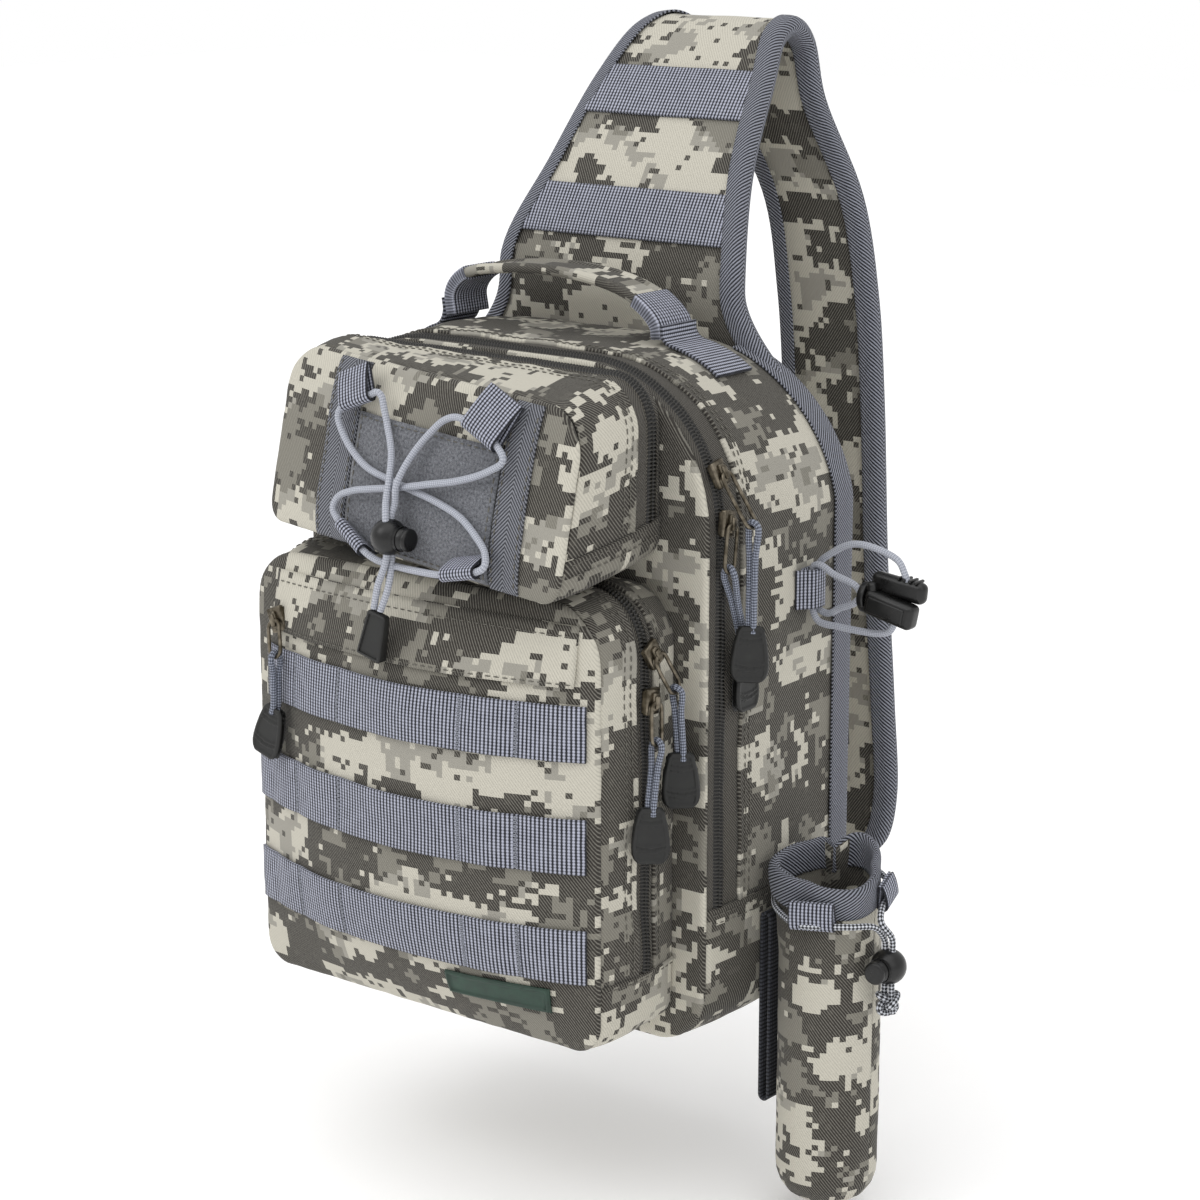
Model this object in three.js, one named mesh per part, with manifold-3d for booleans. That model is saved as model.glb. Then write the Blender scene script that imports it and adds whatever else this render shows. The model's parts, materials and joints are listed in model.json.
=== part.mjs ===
import * as THREE from 'three';
import { mergeVertices } from 'three/addons/utils/BufferGeometryUtils.js';
import Module from 'manifold-3d';

const wasm = await Module();
wasm.setup();

// Driving sizes in millimetres. x is to the viewer's right, y goes back, z goes up,
// and the bottom of the main compartment's back is at z = 0.
const GAP = 0.3; // left between two pieces
const STITCHED = 0.7; // left under a piece sewn on a domed front
const FRONT_PARTS = 9; // divisions across a domed front, odd so that its middle is flat
const CLOTH = 2; // a cloth wall
const TAPE = 1.6; // a woven tape
const WEBBING = 25; // its width
const BACK_PAD = 8;
const STRAP_PAD = 7;
const CORD = 1.6; // radius of the elastic cords
const PULL_CORD = 1.2;
const WIRE = 0.9; // radius of a zip pull's wire ring
const HANG = new THREE.Vector3(0, 74, 445.5); // under the top of the shoulder strap

// Each compartment is a rounded outline seen from the front, run from its rear to its front.
// lean is how far the rear comes forward at the top, crown is how flat a dome is across, and rows
// divide the straight of its sides. A stuffed pocket hangs askew: deep is how much deeper it gets
// toward its base, turn toward its right, and droop is how much its right side sinks.
const MAIN = {
  half: 118, low: 0, high: 309, topRadius: 70, baseRadius: 28,
  rear: 0, front: -101, lean: 16, bulge: 2,
  dome: 0, crown: 2, deep: 0, turn: 0, droop: 0, rows: 2,
};
const UPPER = {
  half: 93, low: 226, high: 307, topRadius: 22, baseRadius: 10,
  rear: -103.6, front: -155, lean: 0, bulge: 2,
  dome: 6, crown: 2.4, deep: 0.25, turn: 0.1, droop: 0.06, rows: 3,
};
const LOWER = {
  half: 101, low: 10, high: 214, topRadius: 26, baseRadius: 14,
  rear: -103.6, front: -156, lean: 0, bulge: 2,
  dome: 24, crown: 2, deep: 0, turn: 0, droop: 0, rows: 6,
};
const LEAN_FROM = MAIN.high - MAIN.topRadius;
const DROOP_FROM = 60; // left of the middle, where a drooping pocket still hangs at its own height
const QUARTER = 4; // parts of a rounded corner

// A zip lies across a gusset from q0 to q1 behind the front edge, with its coil at q.
// It ends on both sides at the height end.
const MAIN_ZIP = { q0: 0, q1: 22, q: 8, end: 66 };
const UPPER_ZIP = { q0: 34, q1: 51.4, q: 45, end: 245 };
const LOWER_ZIP = { q0: 22, q1: 35, q: 28.5, end: 42 };

// The webbing rows on the lower pocket, by the height of their upper edges.
const WEBBING_TOPS = [171, 120, 69];
const WEBBING_ROW = { left: -98, right: 96 };
const FLAP = { left: -60, right: 92, low: 179, high: 206 };
const LABEL = { left: 27, right: 80, low: 28, high: 40 };
const PILE = { left: -36, right: 54, low: 228, high: 286 };
const BANDS = [
  { name: 'band_left', left: -57, right: -37 },
  { name: 'band_right', left: 55, right: 71 },
];

// The middle of the shoulder strap, from its seam on the bag over the top to its free end.
const STRAP = [
  { mid: 0, half: 68, y: -11, z: 309.9 },
  { mid: -2, half: 69, y: -10, z: 338 },
  { mid: -1, half: 57, y: 11, z: 381 },
  { mid: -3, half: 49, y: 42, z: 421 },
  { mid: -3, half: 42, y: 62, z: 444 },
  { mid: 0, half: 39, y: 74, z: 449 },
  { mid: 4, half: 35, y: 85, z: 440 },
  { mid: 15, half: 30, y: 86, z: 412 },
  { mid: 47, half: 26, y: 79, z: 366 },
  { mid: 60, half: 26, y: 74, z: 320 },
  { mid: 67, half: 26, y: 70, z: 272 },
  { mid: 73, half: 26, y: 67, z: 194 },
  { mid: 80, half: 26, y: 65, z: 124 },
  { mid: 84, half: 26, y: 63, z: 78 },
  { mid: 85, half: 21, y: 62, z: 56 },
  { mid: 86, half: 11, y: 62, z: 46 },
];
const STRAP_ROWS = [
  { name: 'strap_webbing_high', from: 2.5, to: 3.1 },
  { name: 'strap_webbing_low', from: 1.25, to: 1.75 },
];
const BINDING = { out: 2.2, over: 4.4 }; // beyond the strap's edge, and either side of its middle

const HANDLE = { y: -45, width: 24, thick: 5 };
const HANDLE_PATH = [
  { x: -66, z: 313 }, { x: -66, z: 321 }, { x: -55, z: 331 }, { x: -30, z: 336 }, { x: 0, z: 338 },
  { x: 28, z: 335.5 }, { x: 47, z: 329 }, { x: 56, z: 320 }, { x: 57, z: 313 },
];
const HANDLE_TABS = [
  { name: 'handle_tab_right', near: 44, far: 88 },
  { name: 'handle_tab_left', near: -54, far: -97 },
];

const TUBE = { x: 151, y: -50.5, radius: 23.5, low: -85, mouth: 82, slant: 6, wall: 1.8 };
const RIM = { height: 8, thick: 1.5 };
const DRAW = { radius: 27, drop: 14, cord: 1.5 };
const DRAW_LOOPS = [
  { name: 'tube_loop_front', angle: -75 },
  { name: 'tube_loop_right', angle: 13 },
];
const TUBE_STRAP = { inner: 120.4, outer: 126.8, y: -50.5, low: -36, high: 56, thick: 2 };

// A cord lock is a ball on two strands that stand side by side, with a sprung plunger.
const LOCK = { radius: 8.2, plunger: 5.2, stem: 6.6, bore: 5.5, travel: 4, side: 1.85 };
const FRONT_LOCK = { at: [2.2, -180.6, 236.3], cord: CORD, turn: [0, 0, 0] };
const TUBE_LOCK = { at: [183.8, -52.5, 41], cord: DRAW.cord, turn: [0, 0, -Math.PI / 2] };

// The four webbing loops on the upper pocket that the elastic cord runs through, end to end.
const CORD_LOOPS = [
  { name: 'cord_loop_top_left', from: [-24.5, -161, 293.8], to: [-41.5, -161, 287.2] },
  { name: 'cord_loop_base_right', from: [56, -185.3, 229.2], to: [36, -183.7, 224.7] },
  { name: 'cord_loop_base_left', from: [-16, -177.6, 227.2], to: [-34, -172.6, 236.2] },
  { name: 'cord_loop_top_right', from: [55, -169.6, 281.2], to: [34.5, -165.4, 289.2] },
];

// The elastic cord laced over the upper pocket, from its end piece through the lock and back.
const LACING = [
  { x: -3.9, y: -184.4, z: 203.6 }, { x: -2.3, y: -183.4, z: 214 }, { x: 2.2, y: -182.45, z: 227.3 },
  { x: 2.2, y: -182.45, z: 245.3 }, { x: -1, y: -178.6, z: 251 }, { x: -1.5, y: -175.7, z: 260.2 },
  { x: -6, y: -168.9, z: 270.5 }, { x: -13.5, y: -162.7, z: 280.5 }, { x: -17, y: -161.2, z: 289 },
  { x: -19, y: -160.6, z: 293.9 }, { x: -21.5, y: -160.9, z: 295.2 }, { x: -24.5, y: -161, z: 293.8 },
  { x: -41.5, y: -161, z: 287.2 }, { x: -44.3, y: -161.6, z: 282.2 }, { x: -41, y: -162.7, z: 275.5 },
  { x: -33.5, y: -164.3, z: 267.8 }, { x: -23, y: -165.9, z: 261.6 }, { x: -8.5, y: -168.1, z: 258.5 },
  { x: 7, y: -170.3, z: 256 }, { x: 23, y: -172.5, z: 253.2 }, { x: 38.5, y: -174.9, z: 248.8 },
  { x: 49, y: -177.2, z: 242.5 }, { x: 57, y: -180.5, z: 236.7 }, { x: 60, y: -184.7, z: 231.8 },
  { x: 56, y: -185.3, z: 229.2 }, { x: 36, y: -183.7, z: 224.7 }, { x: 18.5, y: -180.9, z: 223.3 },
  { x: 1, y: -178.2, z: 223.1 }, { x: -9.5, y: -177.2, z: 224 }, { x: -16, y: -177.6, z: 227.2 },
  { x: -34, y: -172.6, z: 236.2 }, { x: -39.5, y: -171.3, z: 241.7 }, { x: -37.5, y: -170.1, z: 247.2 },
  { x: -28.5, y: -170.5, z: 251.2 }, { x: -16.5, y: -171.9, z: 253.8 }, { x: 0.5, y: -173, z: 256.7 },
  { x: 20.5, y: -173.6, z: 261 }, { x: 35.5, y: -173.2, z: 264.2 }, { x: 50.5, y: -172.2, z: 269.5 },
  { x: 60, y: -171.5, z: 275.8 }, { x: 55, y: -169.6, z: 281.2 }, { x: 34.5, y: -165.4, z: 289.2 },
  { x: 27.5, y: -164.6, z: 290 }, { x: 21, y: -164.9, z: 287.7 }, { x: 14.5, y: -166.5, z: 281.7 },
  { x: 8, y: -169, z: 273.5 }, { x: 5, y: -173.9, z: 265.2 }, { x: 3.5, y: -176.8, z: 258.5 },
  { x: 2.5, y: -176.7, z: 250 }, { x: 2.2, y: -178.75, z: 245.3 }, { x: 2.2, y: -178.75, z: 227.3 },
  { x: 2.3, y: -181.6, z: 214 }, { x: -0.2, y: -184.4, z: 202.9 },
];
const CORD_END = { at: [-3, -185, 192], size: [14, 6, 21.5], tilt: 0.237 };

// The elastic cord of the rod tie, out from the side tab to the toggle and back, twice.
const TIE = [
  { x: 172.4, y: -29, z: 216.2 }, { x: 169, y: -29, z: 221.5 }, { x: 157, y: -29, z: 225.5 },
  { x: 144, y: -28, z: 225.5 }, { x: 132, y: -26.6, z: 219.5 }, { x: 124.6, y: -26.2, z: 213 },
  { x: 124, y: -26.2, z: 203 }, { x: 124.6, y: -26.2, z: 193 }, { x: 130, y: -26.4, z: 191 },
  { x: 138, y: -28, z: 195 }, { x: 147.5, y: -30, z: 199.5 }, { x: 150, y: -30, z: 203.4 },
  { x: 147.5, y: -30, z: 207 }, { x: 136, y: -30, z: 210.5 }, { x: 128, y: -30, z: 214 },
  { x: 124.4, y: -29.8, z: 213 }, { x: 124, y: -29.8, z: 203 }, { x: 124.2, y: -29.8, z: 193 },
  { x: 127.5, y: -30, z: 187.8 }, { x: 139, y: -30, z: 186.8 }, { x: 152, y: -30, z: 186.6 },
  { x: 160, y: -30.2, z: 187 }, { x: 166, y: -30.4, z: 189 },
];
const SIDE_TAB = { x0: 120.4, x1: 127.8, y0: -40, y1: -21.5, low: 194, high: 212 };
const TAB_SLOT = { x: 124, y: -28, wide: 4.6, deep: 8.6 };

// Zip sliders with their rings, cords and moulded tabs. A slider sits on its zip at the height up,
// measured along the cloth, and the one beside the flap is placed by hand.
const PULLS = [
  {
    name: 'main_a', of: MAIN, zip: MAIN_ZIP, up: 264, ring: [131.5, -88, 242],
    tab: [131, -88, 198], end: [130.5, -88.6, 172], face: [0.62, -0.79, 0],
  },
  {
    name: 'main_b', of: MAIN, zip: MAIN_ZIP, up: 243, ring: [125.3, -97, 222.5],
    tab: [122.8, -80.5, 182], end: [122.8, -80, 156], face: [1, 0, 0],
  },
  {
    name: 'lower_a', of: LOWER, zip: LOWER_ZIP, up: 189, ring: [111.5, -116, 171],
    tab: [114.5, -117, 144], end: [114.5, -116.5, 118], face: [0.66, -0.75, 0],
  },
  {
    name: 'lower_b', of: LOWER, zip: LOWER_ZIP, up: 168, ring: [110.5, -129, 149],
    tab: [112.5, -135.8, 123], end: [112.5, -136, 97], face: [0.66, -0.75, 0],
  },
  {
    name: 'flap', at: [-78.5, -165.4, 184], out: [0, -1, 0], ring: [-72.5, -176.6, 168.5],
    tab: [-73.5, -176.4, 145], end: [-82, -176.2, 118.5], face: [0, -1, 0],
  },
];
const TAB_LENGTH = 26;
const TAB_THICK = 4.4;

const LOOKS = {
  camo: { color: '#a8a597', roughness: 0.9, metalness: 0 },
  webbing: { color: '#8a90a5', roughness: 0.85, metalness: 0 },
  binding: { color: '#5d616f', roughness: 0.85, metalness: 0 },
  pile: { color: '#75777d', roughness: 1, metalness: 0 },
  zip: { color: '#4a4743', roughness: 0.7, metalness: 0 },
  elastic: { color: '#a9aebb', roughness: 0.8, metalness: 0 },
  draw: { color: '#4b4d55', roughness: 0.8, metalness: 0 },
  metal: { color: '#8b8373', roughness: 0.4, metalness: 1 },
  rubber: { color: '#2a2b29', roughness: 0.7, metalness: 0 },
  label: { color: '#23392f', roughness: 0.6, metalness: 0 },
};

const V = (x, y, z) => new THREE.Vector3(x, y, z);
const spot = (row) => V(row.x, row.y, row.z);
const clamp = (t) => Math.min(1, Math.max(0, t));
const root = new THREE.Group();
root.position.copy(HANG).negate();

function section() {
  const group = new THREE.Group();
  root.add(group);
  return group;
}

function add(group, name, geometry, look) {
  const mesh = new THREE.Mesh(geometry, new THREE.MeshStandardMaterial(LOOKS[look]));
  mesh.name = name;
  group.add(mesh);
  return mesh;
}

// Solids that are joined or cut.
function toSolid(geometry) {
  const bare = geometry.clone();
  bare.deleteAttribute('normal');
  bare.deleteAttribute('uv');
  const merged = mergeVertices(bare, 1e-4);
  const triVerts = Uint32Array.from(merged.index.array);
  const vertProperties = Float32Array.from(merged.attributes.position.array);
  return new wasm.Manifold(new wasm.Mesh({ numProp: 3, vertProperties, triVerts }));
}

function fromSolid(solid) {
  const mesh = solid.getMesh();
  const geometry = new THREE.BufferGeometry();
  geometry.setAttribute('position', new THREE.BufferAttribute(mesh.vertProperties, 3));
  geometry.setIndex(new THREE.BufferAttribute(mesh.triVerts, 1));
  return geometry;
}

function join(...geometries) {
  return fromSolid(geometries.map(toSolid).reduce((a, b) => a.add(b)));
}

function cut(geometry, ...tools) {
  return fromSolid(tools.map(toSolid).reduce((a, b) => a.subtract(b), toSolid(geometry)));
}

// A slab bent over a face: face(u, v) gives a point p and the way out n, and the slab
// lies between the two lifts. us and vs are where it is divided.
function slab(face, us, vs, low, high) {
  const nu = us.length - 1;
  const nv = vs.length - 1;
  const box = new THREE.BoxGeometry(nu, nv, 1, nu, nv, 1);
  const spots = box.attributes.position;
  for (let i = 0; i < spots.count; i += 1) {
    const u = us[Math.round(spots.getX(i) + nu / 2)];
    const v = vs[Math.round(spots.getY(i) + nv / 2)];
    const { p, n } = face(u, v);
    const edge = spots.getZ(i) > 0 ? high : low;
    const lift = typeof edge === 'function' ? edge(u, v) : edge;
    spots.setXYZ(i, p.x + n.x * lift, p.y + n.y * lift, p.z + n.z * lift);
  }
  return outward(box);
}

function outward(geometry) {
  const spots = geometry.attributes.position;
  const index = geometry.index.array;
  const [a, b, c] = [V(), V(), V()];
  let volume = 0;
  for (let i = 0; i < index.length; i += 3) {
    a.fromBufferAttribute(spots, index[i]);
    b.fromBufferAttribute(spots, index[i + 1]);
    c.fromBufferAttribute(spots, index[i + 2]);
    volume += a.dot(b.cross(c));
  }
  if (volume < 0) {
    for (let i = 0; i < index.length; i += 3) {
      [index[i], index[i + 1]] = [index[i + 1], index[i]];
    }
  }
  return geometry;
}

function spread(from, to, count) {
  return Array.from({ length: count + 1 }, (_, i) => from + ((to - from) * i) / count);
}

function cord(points, radius, steps, sides = 8) {
  const ring = new THREE.Shape(spread(0, 2 * Math.PI, sides).slice(0, -1)
    .map((a) => new THREE.Vector2(radius * Math.cos(a), radius * Math.sin(a))));
  const extrudePath = new THREE.CatmullRomCurve3(points, false, 'centripetal');
  return new THREE.ExtrudeGeometry(ring, { steps, extrudePath, bevelEnabled: false });
}

function block(size, at) {
  return new THREE.BoxGeometry(...size).translate(...at);
}

// A compartment's outline, walked from the middle of its bottom toward the right.
function outline(c) {
  const top = c.topRadius;
  const base = c.baseRadius;
  const line = (x, z, dx, dz, length) => ({
    length,
    parts: Math.ceil(length / 70),
    at: (d) => ({ x: x + dx * d, z: z + dz * d, nx: dz, nz: -dx }),
  });
  const arc = (x, z, r, quarter) => ({
    length: (r * Math.PI) / 2,
    parts: QUARTER,
    at: (d) => {
      const a = (quarter * Math.PI) / 2 + d / r;
      return { x: x + r * Math.cos(a), z: z + r * Math.sin(a), nx: Math.cos(a), nz: Math.sin(a) };
    },
  });
  const flat = c.half - base;
  const side = c.high - c.low - top - base;
  const pieces = [
    line(0, c.low, 1, 0, flat),
    arc(flat, c.low + base, base, 3),
    line(c.half, c.low + base, 0, 1, side),
    arc(c.half - top, c.high - top, top, 0),
    line(c.half - top, c.high, -1, 0, 2 * (c.half - top)),
    arc(top - c.half, c.high - top, top, 1),
    line(-c.half, c.high - top, 0, -1, side),
    arc(-flat, c.low + base, base, 2),
    line(-flat, c.low, 1, 0, flat),
  ];
  const total = pieces.reduce((sum, piece) => sum + piece.length, 0);
  const breaks = [0];
  for (const piece of pieces) {
    const start = breaks[breaks.length - 1];
    breaks.push(...spread(start, start + piece.length, piece.parts).slice(1));
  }
  const at = (distance) => {
    let d = ((distance % total) + total) % total;
    let i = 0;
    while (i < pieces.length - 1 && d > pieces[i].length) {
      d -= pieces[i].length;
      i += 1;
    }
    return pieces[i].at(d);
  };
  // The breaks between two distances, which may start below zero.
  const between = (from, to) => {
    const inner = [...breaks.map((b) => b - total), ...breaks.slice(1)]
      .filter((b) => b > from + 1 && b < to - 1);
    return [from, ...inner, to];
  };
  const sideAt = (z) => flat + (base * Math.PI) / 2 + z - c.low - base;
  const topAt = (x) => {
    const over = Math.asin(Math.min(1, Math.max(0, (Math.abs(x) - c.half + top) / top)));
    const straight = flat + (base * Math.PI) / 2 + side + (top * Math.PI) / 2;
    const across = x > 0 ? straight : straight + 2 * (c.half - top);
    const inside = Math.max(0, c.half - top - Math.abs(x));
    return x > 0 ? across - over * top + inside : across + over * top - inside;
  };
  return { total, at, between, sideAt, topAt };
}

function leanAt(c, z) {
  return -c.lean * clamp((z - LEAN_FROM) / (MAIN.high - LEAN_FROM));
}

function settle(c, p) {
  const share = Math.min(1, (c.rear - p.y) / (c.rear - c.front));
  p.y -= share * (c.deep * ((c.low + c.high) / 2 - p.z) + c.turn * p.x);
  p.z -= share * c.droop * (p.x + DROOP_FROM);
  return p;
}

// The outside of a gusset: d along the outline and q back from the front edge.
function gussetFace(c) {
  const line = outline(c);
  return (d, q) => {
    const o = line.at(d);
    const t = q / (c.rear - c.front);
    const y = c.front + t * (c.rear + leanAt(c, o.z) - c.front);
    const swell = c.bulge * Math.sin(Math.PI * clamp(t));
    const p = V(o.x + o.nx * swell, y, o.z + o.nz * swell);
    return { p: settle(c, p), n: V(o.nx, 0, o.nz) };
  };
}

// The front of a compartment, domed between its seams.
function frontFace(c) {
  const middle = (c.low + c.high) / 2;
  const rise = (c.high - c.low) / 2;
  return (x, z) => {
    const u = clamp(Math.abs(x) / c.half);
    const v = clamp(Math.abs(z - middle) / rise);
    const slant = CLOTH * (c.deep + c.turn);
    const y = c.front - GAP - slant - CLOTH - c.dome * (1 - u ** c.crown) * (1 - v ** 4);
    return { p: settle(c, V(x, y, z)), n: V(0, -1, 0) };
  };
}

function halfAt(c, z) {
  const top = z - (c.high - c.topRadius);
  const base = c.low + c.baseRadius - z;
  if (top > 0) return c.half - c.topRadius + Math.sqrt(Math.max(0, c.topRadius ** 2 - top ** 2));
  if (base > 0) return c.half - c.baseRadius + Math.sqrt(Math.max(0, c.baseRadius ** 2 - base ** 2));
  return c.half;
}

// The heights at which a compartment's outline turns, from the bottom to the top.
function heights(c) {
  const turns = spread(0, Math.PI / 2, QUARTER);
  return [
    ...turns.map((a) => c.low + c.baseRadius * (1 - Math.cos(a))),
    ...spread(c.low + c.baseRadius, c.high - c.topRadius, c.rows).slice(1, -1),
    ...turns.map((a) => c.high - c.topRadius * (1 - Math.sin(a))),
  ];
}

// A panel that fills a compartment's outline.
function panel(c, face, low, high, across) {
  return slab((u, z) => face(u * halfAt(c, z), z), spread(-1, 1, across), heights(c), low, high);
}

// The gussets, with a zip's tape and coil as one band between them.
function arch(c, zip) {
  const line = outline(c);
  const from = line.sideAt(zip.end);
  return line.between(from, line.total - from);
}

function gusset(c, zip, q0, q1) {
  return slab(gussetFace(c), arch(c, zip), [q0, (q0 + q1) / 2, q1], -CLOTH, 0);
}

function base(c, zip) {
  const line = outline(c);
  const end = line.sideAt(zip.end) - GAP;
  return slab(gussetFace(c), line.between(-end, end), spread(0, c.rear - c.front, 2), -CLOTH, 0);
}

function zipBand(c, zip) {
  const q = [zip.q0, zip.q - 3, zip.q - 2.4, zip.q + 2.4, zip.q + 3, zip.q1];
  const coil = (d, v) => (Math.abs(v - zip.q) < 2.5 ? 1.2 : 0);
  return slab(gussetFace(c), arch(c, zip), q, -TAPE, coil);
}

// A flat piece sewn to the front of a compartment, divided where the front is.
function sewn(c, area, thick) {
  const within = (list, from, to) => [from, ...list.filter((t) => t > from + 2 && t < to - 2), to];
  const xs = within(spread(-c.half, c.half, FRONT_PARTS), area.left, area.right);
  const zs = within(heights(c), area.low, area.high);
  return slab(frontFace(c), xs, zs, STITCHED, STITCHED + thick);
}

const body = section();
add(body, 'main_gusset', gusset(MAIN, MAIN_ZIP, MAIN_ZIP.q1 + GAP, MAIN.rear - MAIN.front), 'camo');
add(body, 'main_base', base(MAIN, MAIN_ZIP), 'camo');
add(body, 'main_zip', zipBand(MAIN, MAIN_ZIP), 'zip');
add(body, 'main_front', panel(MAIN, frontFace(MAIN), -CLOTH, 0, 2), 'camo');

const backFace = (x, z) => ({
  p: V(x, MAIN.rear + leanAt(MAIN, z) + GAP + BACK_PAD, z),
  n: V(0, 1, 0),
});
add(body, 'back_panel', panel(MAIN, backFace, -BACK_PAD, 0, 2), 'camo');

const mainLine = outline(MAIN);
const bindingEnd = mainLine.topAt(STRAP[0].half + 3);
const bindingDepth = MAIN.rear - MAIN.front;
add(body, 'back_binding', slab(
  gussetFace(MAIN),
  mainLine.between(mainLine.topAt(-STRAP[0].half - 3) - mainLine.total, bindingEnd),
  [bindingDepth - 5, bindingDepth + 10],
  GAP,
  GAP + TAPE,
), 'binding');

const pocket = section();
add(pocket, 'upper_front', panel(UPPER, frontFace(UPPER), -CLOTH, 0, FRONT_PARTS), 'camo');
add(pocket, 'upper_gusset', gusset(UPPER, UPPER_ZIP, 0, UPPER_ZIP.q0 - GAP), 'camo');
add(pocket, 'upper_zip', zipBand(UPPER, UPPER_ZIP), 'zip');
add(pocket, 'upper_base', base(UPPER, UPPER_ZIP), 'camo');
add(pocket, 'pile_panel', sewn(UPPER, PILE, 1.2), 'pile');
for (const band of BANDS) {
  const area = { ...band, low: UPPER.low + 1, high: UPPER.high - 1 };
  add(pocket, band.name, sewn(UPPER, area, TAPE), 'webbing');
}

const front = section();
add(front, 'lower_front', panel(LOWER, frontFace(LOWER), -CLOTH, 0, FRONT_PARTS), 'camo');
add(front, 'lower_gusset_front', gusset(LOWER, LOWER_ZIP, 0, LOWER_ZIP.q0 - GAP), 'camo');
add(front, 'lower_zip', zipBand(LOWER, LOWER_ZIP), 'zip');
add(front, 'lower_gusset_rear', gusset(
  LOWER,
  LOWER_ZIP,
  LOWER_ZIP.q1 + GAP,
  LOWER.rear - LOWER.front,
), 'camo');
add(front, 'lower_base', base(LOWER, LOWER_ZIP), 'camo');
add(front, 'lower_flap', sewn(LOWER, FLAP, CLOTH), 'camo');
WEBBING_TOPS.forEach((top, i) => {
  const area = { ...WEBBING_ROW, low: top - WEBBING, high: top };
  add(front, `webbing_${i + 1}`, sewn(LOWER, area, TAPE), 'webbing');
});
add(front, 'label_patch', sewn(LOWER, LABEL, 2), 'label');

// The shoulder strap with its edge binding and the webbing across it.
const strapEdge = (sign) => new THREE.CatmullRomCurve3(
  STRAP.map((row) => V(row.mid + sign * row.half, row.y, row.z)),
  false,
  'centripetal',
);
const strapLeft = strapEdge(-1);
const strapRight = strapEdge(1);
const strapSpan = STRAP.length - 1;

function strapFace(row, v) {
  const t = clamp(row / strapSpan);
  const left = strapLeft.getPoint(t);
  const right = strapRight.getPoint(t);
  const along = strapLeft.getTangent(t).add(strapRight.getTangent(t));
  const across = right.clone().sub(left);
  return {
    p: left.clone().addScaledVector(across, (v + 1) / 2),
    n: across.clone().cross(along).normalize().negate(),
    across: across.normalize(),
  };
}

// n points to the outside of the loop: forward on the front part, up at the top.
const strapFlip = strapFace(0, 0).n.y < 0 ? 1 : -1;
const strapOut = (row, v) => {
  const { p, n } = strapFace(row, v);
  return { p, n: n.multiplyScalar(strapFlip) };
};
const strapRows = [
  ...spread(0, 3, 4),
  ...spread(3, 8, 10).slice(1),
  ...spread(8, 13, 5).slice(1),
  ...spread(13, strapSpan, 4).slice(1),
];
const strap = section();
const half = STRAP_PAD / 2;
add(strap, 'strap_pad', slab(strapOut, strapRows, [-1, -0.4, 0.4, 1], -half, half), 'camo');

// The binding runs up one edge, round the free end and back up the other.
const strapRim = [
  ...strapRows.map((row) => ({ row, side: 1 })),
  ...[...strapRows].reverse().map((row) => ({ row, side: -1 })),
];
function rimFace(i, v) {
  const { row, side } = strapRim[i];
  const { p, n } = strapOut(row, side);
  const edge = side > 0 ? strapRight : strapLeft;
  const out = edge.getTangent(clamp(row / strapSpan)).cross(n).normalize();
  if (out.x * side < 0) out.negate();
  if (row === strapSpan) out.lerp(edge.getTangent(1), 0.5).normalize();
  return { p: p.addScaledVector(n, v), n: out };
}
add(strap, 'strap_binding', slab(
  rimFace,
  strapRim.map((_, i) => i),
  [-BINDING.over, BINDING.over],
  GAP,
  GAP + BINDING.out,
), 'binding');
for (const row of STRAP_ROWS) {
  const strip = slab(strapOut, spread(row.from, row.to, 2), [-0.96, 0, 0.96], half + GAP, half + GAP + TAPE);
  add(strap, row.name, strip, 'webbing');
}
const tail = new THREE.CatmullRomCurve3([
  V(86, 62, 42.6), V(88, 56, 33), V(92, 38, 22), V(96, 20, 17), V(97, 11.6, 17),
]);
const tailFace = (t, x) => {
  const along = tail.getTangent(t);
  return { p: tail.getPoint(t).add(V(x, 0, 0)), n: V(0, along.z, -along.y).normalize() };
};
add(strap, 'strap_tail', slab(tailFace, spread(0, 1, 6), [-WEBBING / 2, WEBBING / 2], -1, 1), 'webbing');

// The carry handle on the top, with a sewn tab beyond each end.
const handle = section();
const handlePath = new THREE.CatmullRomCurve3(HANDLE_PATH.map((row) => V(row.x, HANDLE.y, row.z)));
const handleFace = (t, y) => {
  const along = handlePath.getTangent(t);
  return { p: handlePath.getPoint(t).add(V(0, y, 0)), n: V(-along.z, 0, along.x) };
};
add(handle, 'carry_handle', slab(
  handleFace,
  spread(0, 1, 16),
  [-HANDLE.width / 2, HANDLE.width / 2],
  -HANDLE.thick / 2,
  HANDLE.thick / 2,
), 'camo');
const handleDepth = (y) => ((y - MAIN.front) * bindingDepth) / (bindingDepth - MAIN.lean);
for (const tab of HANDLE_TABS) {
  const ends = [mainLine.topAt(tab.near), mainLine.topAt(tab.far)].sort((a, b) => a - b);
  const q = [handleDepth(HANDLE.y - WEBBING / 2), handleDepth(HANDLE.y + WEBBING / 2)];
  const rows = mainLine.between(...ends);
  add(handle, tab.name, slab(gussetFace(MAIN), rows, q, STITCHED, STITCHED + TAPE), 'webbing');
}

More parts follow.
